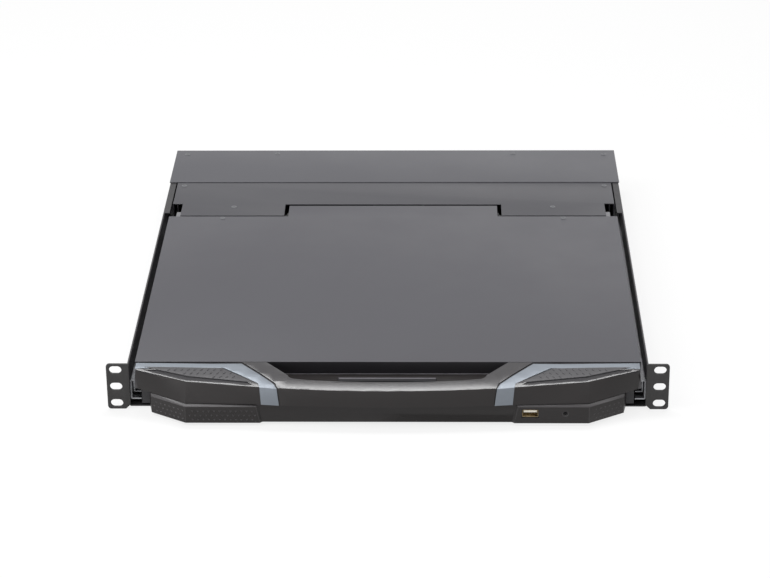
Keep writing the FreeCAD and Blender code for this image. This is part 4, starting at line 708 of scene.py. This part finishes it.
# %% An open mesh becomes a piece
def lay(name, shape, finish):
    """A new piece at the origin from an open mesh, smooth shaded, in one finish."""
    mesh = bpy.data.meshes.new(name + "_mesh")
    shape.to_mesh(mesh)
    shape.free()
    for face in mesh.polygons:
        face.use_smooth = True
    mesh.materials.append(finishes[finish])
    piece = bpy.data.objects.new(name, mesh)
    bpy.context.scene.collection.objects.link(piece)
    return piece


print("lay:", lay.__doc__)

# %% [markdown]
# The Bevel modifier reads a weight from each edge, so one modifier makes both kinds of round: the small one
# of an ordinary moulded corner, and a wider one along the edges that a hand meets. The weight of an edge is
# its own width as a share of the widest. Of the edges that aren't rounded, those that hardly bend are shaded
# smooth and the rest stay crisp.

# %% A copy with rounded edges
hardly_bent = math.radians(6)


def rounded(node, width_mm, segments=2, sharpest=28, shape=None, wide_mm=None, wide_edge=None, others=()):
    """A rounded copy that stands for a node, on the same body. Its rounds may wear the last other finish."""
    shape = shape or whole_faces(node)
    widest = max(width_mm, wide_mm or 0)
    weight = shape.edges.layers.float.new("bevel_weight_edge")
    for edge in shape.edges:
        angle = edge.calc_face_angle(0)
        if edge.is_convex and angle > math.radians(sharpest):
            wide = wide_mm and wide_edge(edge)
            edge[weight] = (wide_mm if wide else width_mm) / widest
        else:
            edge.smooth = angle < hardly_bent
    piece = lay(node + "_finished", shape, finish_of[node])
    soften = piece.modifiers.new("soft_edges", "BEVEL")
    soften.width = widest * MM
    soften.segments = segments
    soften.limit_method = "WEIGHT"
    soften.harden_normals = True
    soften.use_clamp_overlap = True
    for finish in others:
        piece.data.materials.append(finishes[finish])
        soften.material = len(piece.data.materials) - 1
    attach(piece, nodes[node]["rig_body"])
    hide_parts(node)
    return piece


shape = whole_faces("lid_cover")
print("outer edges of the lid", sum(edge.is_convex for edge in shape.edges), "of", len(shape.edges))
shape.free()

# %% [markdown]
# A piece may wear more than one finish: a painted highlight as a pale lip on a bar dark with painted shade,
# walls black with painted shade in a polished moulding. Each face says by a number which of the piece's
# finishes it wears. Faces could be picked by hand, but a test of where a face lies and which way it looks
# still holds after the solid is changed.

# %% Repaint some faces
def repaint(piece, slot, wanted):
    """Gives the faces that pass a test another of the piece's finishes."""
    for face in piece.data.polygons:
        if wanted(face.center / MM, face.normal):
            face.material_index = slot


print("repaint:", repaint.__doc__)

# %% [markdown]
# ## Panels, keys and lid
# The corners of painted panels and of key caps are rounded by about a third of a millimetre, all alike, so a
# copy with one small round is enough for each. The two touch buttons are made 0.2 mm shorter at the back, so
# that a dark line parts them from the touchpad.

# %% Panels and keys
edge_rounds = {"hinge_cover": 0.3, "rear_cover": 0.35, "right_rack_ear": 0.3, "left_rack_ear": 0.3,
               "keyboard_deck": 0.3, "touch_frame": 0.2}
for node, width in edge_rounds.items():
    rounded(node, width)

key_round = 0.35
button_gap = 0.2 * MM
for node in wardrobe["abs_key"]:
    shape = whole_faces(node)
    if node.endswith("touch_button"):
        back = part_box(node)[1].y
        for vert in shape.verts:
            vert.co.y = min(vert.co.y, back - button_gap)
    rounded(node, key_round, shape=shape)
print("rounded", len(edge_rounds) + len(wardrobe["abs_key"]), "panels and key rows")

# %% [markdown]
# The lid's front edge shows through the handle's pocket as a black line: it faces forward, into the dark, and
# that shade is painted on it as a dark finish. The release bar hangs in the same pocket. Its top is painted
# black too as shade, apart from a painted highlight: a pale strip at its rear edge.
# A strip of its own could be laid on it, but one cut across the top and a second finish behind the cut add
# nothing that could come loose or stand proud.

# %% Lid and release bar
lid_edge_before = 9
lid = rounded("lid_cover", 0.35, others=("abs_painted_shade", "satin_paint_lid"))
# its forward faces near the front wear the dark finish: painted shade
repaint(lid, 1, lambda at, way: way.y < -0.9 and at.y < lid_edge_before)
print("dark faces of the lid", sum(face.material_index == 1 for face in lid.data.polygons))

bar_highlight_strip = 3.2
bar_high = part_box("release_bar")[1]
shape = whole_faces("release_bar")
bmesh.ops.bisect_plane(shape, geom=shape.verts[:] + shape.edges[:] + shape.faces[:], dist=1e-6,
                       plane_co=(0, bar_high.y - bar_highlight_strip * MM, 0), plane_no=(0, 1, 0))
bar = rounded("release_bar", 0.2, shape=shape, others=("abs_painted_highlight", "abs_painted_shade"))
# the top's rear strip wears the pale finish, a painted highlight; the rest of the bar wears painted shade
repaint(bar, 1, lambda at, way: (way.z > 0.9 and at.z > bar_high.z / MM - 0.2
                                 and at.y > bar_high.y / MM - bar_highlight_strip))
print("pale faces of the bar", sum(face.material_index == 1 for face in bar.data.polygons))

# %% [markdown]
# ## Lower front
# The lower front stops a little short of the ears, so its two ends are moved in. The line of light along its
# long chamfer and its rounds is a painted highlight: they wear the paler edge finish. The hole of the reset
# button has a wider round, whose painted highlight shows it as a ring. The corners of the front socket's
# shell, which is bent from thin plate, have a wider round too.

# %% Lower front and front socket
end_start, end_shift = 202.5 * MM, 2.3 * MM
hole_radius, front_depth = 2.5 * MM, -29 * MM
reset_at = sum(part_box("reset_button"), Vector()) / 2
shape = whole_faces("lower_bezel")
for vert in shape.verts:
    if abs(vert.co.x) > end_start:
        vert.co.x -= math.copysign(end_shift, vert.co.x)


def at_reset(edge):
    """True on the front edge of the hole around the reset button."""
    middle = (edge.verts[0].co + edge.verts[1].co) / 2
    return (middle - reset_at).xz.length < hole_radius and middle.y < front_depth


def along_socket(edge):
    """True on the long edges of the front socket's shell."""
    first, second = edge.verts
    return abs(first.co.y - second.co.y) > 10 * MM


# the rounds and the long chamfer wear the paler edge finish: a painted highlight
lower = rounded("lower_bezel", 0.4, shape=shape, wide_mm=0.6, wide_edge=at_reset, others=("abs_painted_edge_highlight",))
repaint(lower, 1, lambda at, way: 0.5 < way.z < 0.85 and at.y < -8 and at.z > -6)
rounded("usb_socket", 0.1, segments=3, wide_mm=0.9, wide_edge=along_socket)
print("chamfer faces", sum(face.material_index for face in lower.data.polygons))

# %% [markdown]
# ## Handle
# Three things share the handle's crowned top: the moulding itself, a metallic blade on each side and a grip
# in front of each blade. The blades and grips are let in with narrow dark gaps. A gap comes from moving the
# sides of a piece inward, along the slope, so that its top stays level with its neighbours.

# %% Gaps around blades and grips
# distances from the middle and a depth: where the handle's rounded ends begin, where a blade's outermost
# side lies, and how far a blade stands lower than in the solid
outer_end, blade_outside = 200, 214
blade_drop = 0.45 * MM


def draw_in(shape, amount, wanted, at_end=None):
    """Moves the sides that pass a test inward along the sloping top, by another amount near the ends."""
    for face, way in [(face, face.normal.copy()) for face in shape.faces
                      if abs(face.normal.z) < 0.03 and wanted(face.calc_center_median() / MM, face.normal)]:
        for vert in face.verts:
            here = amount if at_end is None or abs(vert.co.x) < outer_end * MM else at_end
            vert.co -= Vector((way.x, way.y, way.y * top_slope)) * here * MM


def slim_blade(shape):
    """A blade that lies flush, with a gap to the lid, to the grip in front and to the handle's middle."""
    for vert in {vert for face in shape.faces if is_top(face) for vert in face.verts}:
        vert.co.z -= blade_drop
    # the rear side, along the lid
    draw_in(shape, 1.3, lambda at, way: way.y > 0.95 and abs(at.x) < blade_outside)
    # the front side, along the grip
    draw_in(shape, 1.9, lambda at, way: way.y < -0.95 and abs(at.x) < outer_end, 0.6)
    # the slanting inner end
    draw_in(shape, 0.9, lambda at, way: 0.3 < way.y < 0.95 and abs(at.x) < blade_outside)


def slim_grip():
    """The grip, with its front side moved back from the handle's rim and its rear side up to the blade."""
    shape = whole_faces("grip_inserts")
    # the front side, away from the rim
    draw_in(shape, 2.3, lambda at, way: way.y < -0.8)
    # the rear side, towards the blade
    draw_in(shape, -2.6, lambda at, way: way.y > 0.95, -1.3)
    return shape


grip = slim_grip()
print("grip faces", len(grip.faces))
grip.free()

# %% [markdown]
# The edges of the handle that a hand meets have the wider round: along its front, and up its two end corners.
# Both are found by how their faces lie. All pieces of the handle are rounded with these settings, after they
# have been crowned.

# %% Rounds of the handle
def top_meets_front(edge):
    """True where a face that looks up meets one that looks forward or outward."""
    upper, lower = sorted((face.normal for face in edge.link_faces), key=lambda way: -way.z)
    return upper.z > 0.9 and abs(lower.z) < 0.6 and lower.y < -0.3


def end_corner(edge):
    """True on the upright corners at the two ends of the handle."""
    first, second = (vert.co for vert in edge.verts)
    return abs(first.x) > 190 * MM and abs(first.z - second.z) > 5 * MM


def rounded_top(node, width_mm, shape, others=()):
    """A crowned and rounded copy of a piece that shares the handle's top."""
    crown(shape)
    return rounded(node, width_mm, segments=3, sharpest=12, shape=shape, wide_mm=0.8,
                   wide_edge=lambda edge: top_meets_front(edge) or end_corner(edge), others=others)


shape = whole_faces("handle_bezel")
print("upright edges near the ends", sum(end_corner(edge) for edge in shape.edges))
shape.free()

# %% [markdown]
# The pocket in the middle is where fingers reach the release bar. The crown would hide its floor, so its
# front wall is moved forward first, by less towards its ends. Its floor is cut along the rear, where a
# painted highlight shows as a pale lip. Then the moulding is dressed by how and where its faces lie: polished
# top, calm front, walls and seats dark with painted shade, and rounds pale with a painted highlight.

# %% Handle moulding
rim_front, rim_rear = -21 * MM, -11.5 * MM
rim_reach, rim_fade = 96 * MM, 24 * MM
rim_shift = 2.8 * MM
highlight_strip_width = 1.3
floor_height = 9
handle_end = 7.9


def thin_rim(shape):
    """Moves the pocket's front wall forward, down the slope, so that the crown doesn't hide the floor."""
    for vert in shape.verts:
        if rim_front < vert.co.y < rim_rear and abs(vert.co.x) < rim_reach:
            moved = rim_shift * min((rim_reach - abs(vert.co.x)) / rim_fade, 1.0)
            vert.co.y -= moved
            if vert.co.z > 11 * MM:
                vert.co.z -= moved * top_slope


def is_recess(at, way):
    """True where the handle gets painted shade: on seats under what is let into it and on the pocket's walls.
    """
    # the slope starts 12 mm high at the front edge, 31 mm in front of the origin; a seat lies under it, a
    # side wall reaches up to it, and the walls of the pocket stand within 105.5 mm of the middle
    top = 12.0 + (at.y + 31) * top_slope + crown_lift(at.x * MM, at.y * MM) / MM
    seat = way.z > 0.9 and 10 < at.z < top - 0.45
    side = abs(way.z) < 0.1 and at.z > top - 1.6 and at.y < handle_end
    wall = abs(way.z) < 0.3 and abs(at.x) < 105.5 and -22 < at.y < handle_end and at.z > 8.7
    return seat or side or wall


shape = whole_faces("handle_bezel")
thin_rim(shape)
floor = [face for face in shape.faces if face.normal.z > 0.99
         and face.calc_center_median().z < floor_height * MM]
bmesh.ops.bisect_plane(shape, geom=floor + list({edge for face in floor for edge in face.edges}),
                       dist=1e-6, plane_co=(0, lid_line - highlight_strip_width * MM, 0), plane_no=(0, 1, 0))
handle = rounded_top("handle_bezel", 0.35, shape, ("abs_front", "abs_painted_shade", "abs_painted_highlight", "abs_painted_edge_highlight"))
# front faces and floor: front finish; seats and walls: painted shade; floor's rear strip: painted highlight
repaint(handle, 1, lambda at, way: way.y < -0.3 and abs(way.z) < 0.6 and at.y < -1)
repaint(handle, 2, is_recess)
repaint(handle, 1, lambda at, way: way.z > 0.99 and at.z < floor_height)
repaint(handle, 3, lambda at, way: way.z > 0.99 and at.z < floor_height and at.y > lid_line / MM - highlight_strip_width)
print("handle faces by finish", [sum(face.material_index == slot for face in handle.data.polygons)
                                 for slot in range(5)])

# %% [markdown]
# The blades run out to the handle's two ends. There the upright end face of a blade is black plastic like
# its surroundings. The grips follow with the plain rounds.

# %% Blades and grips
blade_end = 208.6
for node in ("right_accent_strip", "left_accent_strip"):
    shape = whole_faces(node)
    slim_blade(shape)
    blade = rounded_top(node, 0.25, shape, ("abs_handle", "flake_paint_silver"))
    repaint(blade, 1, lambda at, way: abs(at.x) > blade_end and abs(way.z) < 0.5)
    print(node, len(blade.data.polygons), "faces")
grips = rounded_top("grip_inserts", 0.3, slim_grip())
print("grips", len(grips.data.polygons), "faces")

# %% [markdown]
# The plastic tongue inside the front socket belongs to the board behind it, so it can't be dressed as a
# piece of its own. It is found by its place instead: it is what lies inside the socket's box.

# %% Ivory tongue of the front socket
socket_low, socket_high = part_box("usb_socket")
board = lay("front_io_board_finished", whole_faces("front_io_board"), "board_lacquer_front")
board.data.materials.append(finishes["socket_ivory"])
for face in board.data.polygons:
    face.use_smooth = False
    if all(low - 1e-5 < part < high + 1e-5 for low, part, high in zip(socket_low, face.center, socket_high)):
        face.material_index = 1
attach(board, nodes["front_io_board"]["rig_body"])
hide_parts("front_io_board")
print("ivory faces", sum(face.material_index for face in board.data.polygons))

# %% [markdown]
# ## Studs and screws
# The grips carry rows of flat four-cornered marks, and the left part of the lower front and both its corners
# carry small three-sided studs. All are set like the cells of a honeycomb: each row is half a step to the
# side of the one before. More than a hundred of them would be a dull job by hand, so Geometry Nodes grows
# them from a tree of nodes. A script can run such a tree and keep its result as a plain mesh.

# %% A helper that grows a tree
def new_tree(name, *wanted):
    """An empty tree with a geometry input and the named inputs. Gives the tree and its input node."""
    tree = bpy.data.node_groups.new(name, "GeometryNodeTree")
    tree.interface.new_socket("Geometry", in_out="INPUT", socket_type="NodeSocketGeometry")
    for label, kind in wanted:
        tree.interface.new_socket(label, in_out="INPUT", socket_type="NodeSocket" + kind)
    tree.interface.new_socket("Geometry", in_out="OUTPUT", socket_type="NodeSocketGeometry")
    return tree, tree.nodes.new("NodeGroupInput").outputs


def grow(name, tree, seed, values, body):
    """Runs a tree over a seed mesh and keeps the result as a plain piece on one body."""
    planted = bpy.data.objects.new(name + "_seed", seed)
    bpy.context.scene.collection.objects.link(planted)
    modifier = planted.modifiers.new("grow", "NODES")
    modifier.node_group = tree
    for socket in tree.interface.items_tree:
        if socket.in_out == "INPUT" and socket.name in values:
            modifier[socket.identifier] = values[socket.name]
    ready = planted.evaluated_get(bpy.context.evaluated_depsgraph_get())
    mesh = bpy.data.meshes.new_from_object(ready)
    bpy.data.objects.remove(planted)
    piece = bpy.data.objects.new(name, mesh)
    bpy.context.scene.collection.objects.link(piece)
    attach(piece, body)
    return piece


print("a tree grows on a seed mesh and leaves a plain piece")

# %% [markdown]
# The stud tree starts with a grid of points. In a honeycomb three neighbours stand at the corners of an
# even-sided triangle, so the rows are as far apart as such a triangle is high, and every second row is moved
# aside by half a step. Then the grid is turned and moved to hang in front of its panel.

# %% Stud tree: the grid of points
row_share = math.sin(math.radians(60))
stud_tree, given = new_tree(
    "studs", ("Facing", "Vector"), ("Turn", "Rotation"), ("Centre", "Vector"), ("Step", "Float"),
    ("Columns", "Int"), ("Rows", "Int"), ("Margin", "Float"), ("Side", "Float"), ("Height", "Float"),
    ("Corners", "Int"), ("Stretch", "Vector"), ("Spin", "Rotation"), ("Finish", "Material"))
row_step = add(stud_tree, "ShaderNodeMath", {1: row_share}, {0: given["Step"]}, operation="MULTIPLY")
across = add(stud_tree, "ShaderNodeMath", feeds={0: given["Step"], 1: given["Columns"]}, operation="MULTIPLY")
along = add(stud_tree, "ShaderNodeMath", feeds={0: row_step.outputs[0], 1: given["Rows"]},
            operation="MULTIPLY")
columns = add(stud_tree, "ShaderNodeMath", {1: 1.0}, {0: given["Columns"]}, operation="ADD")
rows = add(stud_tree, "ShaderNodeMath", {1: 1.0}, {0: given["Rows"]}, operation="ADD")
grid = add(stud_tree, "GeometryNodeMeshGrid",
           feeds={"Size X": across.outputs[0], "Size Y": along.outputs[0],
                  "Vertices X": columns.outputs[0], "Vertices Y": rows.outputs[0]})
spot = add(stud_tree, "GeometryNodeInputPosition").outputs[0]
axes = add(stud_tree, "ShaderNodeSeparateXYZ", feeds={0: spot})
row_number = add(stud_tree, "ShaderNodeMath", feeds={0: axes.outputs[1], 1: row_step.outputs[0]},
                 operation="DIVIDE")
whole_row = add(stud_tree, "ShaderNodeMath", {1: 0.25}, {0: row_number.outputs[0]}, operation="ADD")
whole_row = add(stud_tree, "ShaderNodeMath", feeds={0: whole_row.outputs[0]}, operation="FLOOR")
odd = add(stud_tree, "ShaderNodeMath", {1: 2.0}, {0: whole_row.outputs[0]}, operation="FLOORED_MODULO")
half_step = add(stud_tree, "ShaderNodeMath", {1: 0.5}, {0: given["Step"]}, operation="MULTIPLY")
aside = add(stud_tree, "ShaderNodeMath", feeds={0: odd.outputs[0], 1: half_step.outputs[0]},
            operation="MULTIPLY")
aside = add(stud_tree, "ShaderNodeCombineXYZ", feeds={0: aside.outputs[0]})
staggered = add(stud_tree, "GeometryNodeSetPosition", feeds={"Geometry": grid.outputs[0],
                                                             "Offset": aside.outputs[0]})
placed = add(stud_tree, "GeometryNodeTransform", feeds={"Geometry": staggered.outputs[0],
                                                        "Translation": given["Centre"],
                                                        "Rotation": given["Turn"]})
print("nodes for the grid", len(stud_tree.nodes))

# %% [markdown]
# Next the tree finds the panel: the faces that look the wanted way. The panel's border is made of the edges
# that have only one of those faces beside them.

# %% Stud tree: the panel and its border
alike_enough = 0.95
normal = add(stud_tree, "GeometryNodeInputNormal").outputs[0]
likeness = add(stud_tree, "ShaderNodeVectorMath", feeds={0: normal, 1: given["Facing"]},
               operation="DOT_PRODUCT")
alike = add(stud_tree, "FunctionNodeCompare", {1: alike_enough}, {0: likeness.outputs["Value"]},
            data_type="FLOAT", operation="GREATER_THAN")
panel = add(stud_tree, "GeometryNodeSeparateGeometry", feeds={"Geometry": given["Geometry"],
                                                              "Selection": alike.outputs[0]}, domain="FACE")
neighbours = add(stud_tree, "GeometryNodeInputMeshEdgeNeighbors").outputs[0]
lone = add(stud_tree, "FunctionNodeCompare", {3: 1}, {2: neighbours}, data_type="INT", operation="EQUAL")
border = add(stud_tree, "GeometryNodeSeparateGeometry", feeds={"Geometry": panel.outputs[0],
                                                               "Selection": lone.outputs[0]}, domain="EDGE")
print("with the panel", len(stud_tree.nodes))

# %% [markdown]
# Every point of the grid looks for the panel. Where it meets it, far enough from the border, it lands; all
# other points are dropped. So the field takes the outline of its panel by itself, whatever that outline is.

# %% Stud tree: the landing
look_reach = 20 * MM
inward = add(stud_tree, "ShaderNodeVectorMath", {"Scale": -1.0}, {0: given["Facing"]}, operation="SCALE")
landing = add(stud_tree, "GeometryNodeRaycast", {"Ray Length": look_reach},
              {"Target Geometry": panel.outputs[0], "Ray Direction": inward.outputs[0]})
gap = add(stud_tree, "GeometryNodeProximity", feeds={"Geometry": border.outputs[0],
                                                     "Sample Position": landing.outputs["Hit Position"]},
          target_element="EDGES")
roomy = add(stud_tree, "FunctionNodeCompare", feeds={0: gap.outputs["Distance"], 1: given["Margin"]},
            data_type="FLOAT", operation="GREATER_THAN")
good = add(stud_tree, "FunctionNodeBooleanMath", feeds={0: landing.outputs["Is Hit"],
                                                        1: roomy.outputs[0]}, operation="AND")
kept = add(stud_tree, "GeometryNodeSeparateGeometry", feeds={"Geometry": placed.outputs[0],
                                                             "Selection": good.outputs[0]}, domain="POINT")
landed = add(stud_tree, "GeometryNodeSetPosition", feeds={"Geometry": kept.outputs[0],
                                                          "Position": landing.outputs["Hit Position"]})
print("with the landing", len(stud_tree.nodes))

# %% [markdown]
# A stud is a low cone without its tip and with few corners: three make a small pyramid, four a lozenge once
# it is stretched. It is sunk a little so that no gap shows under it. The copies are made real at the end,
# because a moving piece has to be a plain mesh.

# %% Stud tree: one stud, and its copies
tip_share = 0.35
sunk_depth = 0.08 * MM
tip = add(stud_tree, "ShaderNodeMath", {1: tip_share}, {0: given["Side"]}, operation="MULTIPLY")
stud = add(stud_tree, "GeometryNodeMeshCone",
           feeds={"Vertices": given["Corners"], "Radius Top": tip.outputs[0],
                  "Radius Bottom": given["Side"], "Depth": given["Height"]})
sunk = add(stud_tree, "GeometryNodeTransform", {"Translation": (0, 0, -sunk_depth)},
           {"Geometry": stud.outputs[0], "Rotation": given["Spin"], "Scale": given["Stretch"]})
studs = add(stud_tree, "GeometryNodeInstanceOnPoints", feeds={"Points": landed.outputs[0],
                                                              "Instance": sunk.outputs[0],
                                                              "Rotation": given["Turn"]})
solid = add(stud_tree, "GeometryNodeRealizeInstances", feeds={0: studs.outputs[0]})
worn = add(stud_tree, "GeometryNodeSetMaterial", feeds={"Geometry": solid.outputs[0],
                                                        "Material": given["Finish"]})
add(stud_tree, "NodeGroupOutput", feeds={0: worn.outputs[0]})
print("stud tree nodes", len(stud_tree.nodes))

# %% [markdown]
# A field of studs is one run of the tree with its own numbers: where the grid hangs and how it is turned, how
# many points it has, how far apart they are, and what a single stud looks like.

# %% A field of studs
def stud_field(name, seed, body, finish, facing, turned, centre, counts, step, margin, stud):
    """Studs over the part of a seed that faces one way. A stud is side, height, corners, stretch and spin."""
    columns, rows = counts
    side, height, corners, stretch, spin = stud
    values = {"Facing": facing, "Turn": turned, "Centre": [part * MM for part in centre], "Columns": columns,
              "Rows": rows, "Step": step * MM, "Margin": margin * MM, "Side": side * MM,
              "Height": height * MM, "Corners": corners, "Stretch": stretch, "Spin": spin,
              "Finish": finishes[finish]}
    piece = grow(name, stud_tree, seed, values, body)
    print(name, len(piece.data.polygons) // (corners + 2), "studs")
    return piece


# %% [markdown]
# The marks of a grip are narrow lozenges that lean outwards, mirrored on the other side. They grow on the
# slope as it is in the solid, and are lifted by the crown afterwards, as the grip itself is.

# %% Marks on the grips
slope = math.radians(11.6)
up_slope = (0, -math.sin(slope), math.cos(slope))
for mark, side in (("right", 1), ("left", -1)):
    lozenge = (1.4, 0.6, 4, (1.7, 0.62, 1), (0, 0, -side * math.radians(50)))
    seed = bpy.data.objects["grip_inserts_finished"].data.copy()
    shape = slim_grip()
    shape.to_mesh(seed)
    shape.free()
    piece = stud_field("grip_studs_" + mark, seed, "lid", "abs_grip", up_slope, (slope, 0, 0),
                       (side * 161, -11, 26), (18, 6), 5.6, 1.3, lozenge)
    for vert in piece.data.vertices:
        vert.co.z += crown_lift(vert.co.x, vert.co.y)

# %% [markdown]
# On the lower front the studs stand in three rows: a long field on the left of the front and a short one on
# each slanting corner, where they are lower.

# %% Studs on the lower front
lower_low, lower_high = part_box("lower_bezel")
pad_mid_z = (lower_low.z + lower_high.z - 3 * MM) / 2 / MM
triangle = (3, (1, 1, 1), (0, 0, -math.pi / 2))
# the studs wear the paler stud finish, a painted highlight
stud_field("front_studs_left", bpy.data.objects["lower_bezel_finished"].data.copy(), "drawer", "abs_stud_painted_highlight",
           (0, -1, 0), (math.pi / 2, 0, 0), (-139.5, -36, pad_mid_z), (12, 2), 4.6, 2.0,
           (1.4, 0.7, *triangle))
for mark, side in (("left", -1), ("right", 1)):
    stud_field("corner_studs_" + mark, bpy.data.objects["lower_bezel_finished"].data.copy(), "drawer",
               "abs_stud_painted_highlight", (side * 0.5, -0.866, 0), (math.pi / 2, 0, side * math.pi / 6),
               (side * 190.5, -26, pad_mid_z), (6, 2), 4.6, 2.0, (1.4, 0.45, *triangle))

# %% [markdown]
# Screws hold the strip, the lid and the rear cover. All are pan heads with a cross recess, so one tree makes
# them: a cylinder less two crossed bars, set on every point of a seed. The same tree makes the two hexagonal
# posts beside the video socket.

# %% The screw tree
slot_share = 0.28
screw_tree, given = new_tree(
    "screws", ("Turn", "Rotation"), ("Radius", "Float"), ("Depth", "Float"), ("Sides", "Int"),
    ("Slot", "Float"), ("Finish", "Material"))
head = add(screw_tree, "GeometryNodeMeshCylinder",
           feeds={"Vertices": given["Sides"], "Radius": given["Radius"], "Depth": given["Depth"]})
slot_wide = add(screw_tree, "ShaderNodeMath", {1: slot_share}, {0: given["Slot"]}, operation="MULTIPLY")
slot_size = add(screw_tree, "ShaderNodeCombineXYZ",
                feeds={0: given["Slot"], 1: slot_wide.outputs[0], 2: given["Depth"]})
bar = add(screw_tree, "GeometryNodeMeshCube", feeds={"Size": slot_size.outputs[0]})
bar_height = add(screw_tree, "ShaderNodeMath", {1: 0.6}, {0: given["Depth"]}, operation="MULTIPLY")
raised = add(screw_tree, "ShaderNodeCombineXYZ", feeds={2: bar_height.outputs[0]})
first = add(screw_tree, "GeometryNodeTransform", feeds={"Geometry": bar.outputs[0],
                                                        "Translation": raised.outputs[0]})
second = add(screw_tree, "GeometryNodeTransform", {"Rotation": (0, 0, math.pi / 2)},
             {"Geometry": bar.outputs[0], "Translation": raised.outputs[0]})
recessed = add(screw_tree, "GeometryNodeMeshBoolean", feeds={"Mesh 1": head.outputs["Mesh"],
                                                             "Mesh 2": first.outputs[0]},
               operation="DIFFERENCE", solver="EXACT")
screw_tree.links.new(second.outputs[0], recessed.inputs["Mesh 2"])
screws = add(screw_tree, "GeometryNodeInstanceOnPoints", feeds={"Points": given["Geometry"],
                                                                "Instance": recessed.outputs["Mesh"],
                                                                "Rotation": given["Turn"]})
solid = add(screw_tree, "GeometryNodeRealizeInstances", feeds={0: screws.outputs[0]})
worn = add(screw_tree, "GeometryNodeSetMaterial", feeds={"Geometry": solid.outputs[0],
                                                         "Material": given["Finish"]})
add(screw_tree, "NodeGroupOutput", feeds={0: worn.outputs[0]})
print("screw tree nodes", len(screw_tree.nodes))

# %% [markdown]
# The places of the screws are found by looking straight at the part from outside, as the studs do, so a head
# always sits on the surface. The points where the looks land are the seed.

# %% Screws and posts
def landings(node, starts, way):
    """A seed mesh with a point wherever a look from a start, along a direction, meets a node."""
    tree = BVHTree.FromBMesh(whole_faces(node))
    points = [tree.ray_cast(Vector(start) * MM, Vector(way))[0] for start in starts]
    seed = bpy.data.meshes.new(node + "_points")
    seed.from_pydata([point for point in points if point], [], [])
    return seed


def both_sides(*places):
    """The places and their mirror images, well above the part."""
    return [(side * x, y, 40) for x, y in places for side in (-1, 1)]


down = ((0, 0, -1), (0, 0, 0))  # the way a look goes, and how the head is turned
from_behind = ((0, -1, 0), (-math.pi / 2, 0, 0))
pan_head = (2.6, 0.5, 24, 2.6)  # radius, depth, sides and slot
post = (2.6, 5.0, 6, 0.4)
screw_sets = [
    ("strip_screws", "hinge_cover", both_sides((155, 338), (60, 338), (208, 390)), down, pan_head),
    ("lid_screws", "lid_cover", both_sides((164, 311)), down, pan_head),
    ("cover_screws", "rear_cover", both_sides((212, 470), (120, 472)), down, pan_head),
    ("video_posts", "vga_socket", [(27.5, 520, 0), (52.5, 520, 0)], from_behind, post),
]
for name, node, starts, (way, turned), (radius, depth, sides, slot) in screw_sets:
    values = {"Turn": turned, "Radius": radius * MM, "Depth": depth * MM, "Sides": sides, "Slot": slot * MM,
              "Finish": finishes["steel_screw"]}
    piece = grow(name, screw_tree, landings(node, starts, way), values, nodes[node]["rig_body"])
    first = [round(part / MM, 1) for part in piece.data.vertices[0].co]
    print(name, first, len(piece.data.polygons), "faces")

# %% [markdown]
# ## Key legends
# The letters on the caps are printed. A picture of them would have to be unwrapped onto a hundred caps, so
# they are thin plates that lie on the caps instead. Each row is one moving piece, and its letters ride with
# it. The places of the caps come from the row itself: every cap is a loose part of the row, and the caps are
# read from the back to the front and from left to right.

# %% Places of the caps
def cap_places(node):
    """The boxes of a row's caps in millimetres, back to front and left to right."""
    shape = whole_faces(node)
    left = set(shape.verts)
    caps = []
    while left:
        group = [left.pop()]
        for vert in group:
            for edge in vert.link_edges:
                other = edge.other_vert(vert)
                if other in left:
                    left.discard(other)
                    group.append(other)
        low = Vector([min(vert.co[axis] for vert in group) for axis in range(3)]) / MM
        high = Vector([max(vert.co[axis] for vert in group) for axis in range(3)]) / MM
        caps.append((low, high))
    shape.free()
    return sorted(caps, key=lambda cap: (-round(cap[0].y + cap[1].y), cap[0].x))


print("caps in the home row", len(cap_places("home_row_keys")))

# %% [markdown]
# Blender's own font is set in small plates a few hundredths of a millimetre thick. A single letter is
# larger than a word, and both sit at the cap's rear left corner, as legends do. All the plates of a row
# become one piece.

# %% Print the legends
letter_size, word_size = 5.0, 3.6
letter_inset, from_back = 5.0, 5.5


def letters(written, size_mm):
    """Flat letters as a mesh around their middle."""
    text = bpy.data.curves.new("letters", "FONT")
    text.body = written
    text.size = size_mm * MM
    text.align_x = "CENTER"
    text.align_y = "CENTER"
    text.extrude = 0.02 * MM
    text.resolution_u = 2
    item = bpy.data.objects.new("letters", text)
    mesh = bpy.data.meshes.new_from_object(item)
    bpy.data.objects.remove(item)
    return mesh


legends = {
    "function_row_keys": "Esc F1 F2 F3 F4 F5 F6 F7 F8 F9 F10 F11 F12 Prt Brk".split(),
    "number_row_keys": "` 1 2 3 4 5 6 7 8 9 0 - = Bksp".split(),
    "upper_row_keys": ["Tab", *"QWERTYUIOP[]", "\\"],
    "home_row_keys": ["Caps", *"ASDFGHJKL;'", "Enter"],
    "lower_row_keys": ["Shift", *"ZXCVBNM,./", "Shift", "^"],
    "bottom_row_keys": "Ctrl Fn Alt Alt Menu Ctrl < v >".split(),
    "navigation_keys": "Ins Del Home End PgUp PgDn".split(),
    "numpad_keys": "( ) = % Num / * - 7 8 9 + 4 5 6 1 2 3 Ent 0 .".split(),
}
for node, words in legends.items():
    shape = bmesh.new()
    for word, (low, high) in zip(words, cap_places(node)):
        single = len(word) == 1
        plate = letters(word, letter_size if single else word_size)
        inset = letter_inset if single else 1.3 * len(word) + 1.0
        plate.transform(Matrix.Translation(Vector((low.x + inset, high.y - from_back, high.z)) * MM))
        shape.from_mesh(plate)
        bpy.data.meshes.remove(plate)
    count = len(shape.faces)
    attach(lay(node.replace("_keys", "_legends"), shape, "legend_ink"), nodes[node]["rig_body"])
    print(node, len(words), "legends,", count, "faces")

# %% [markdown]
# The last cell brings the view layer up to date.

# %% Update the view layer
bpy.context.view_layer.update()
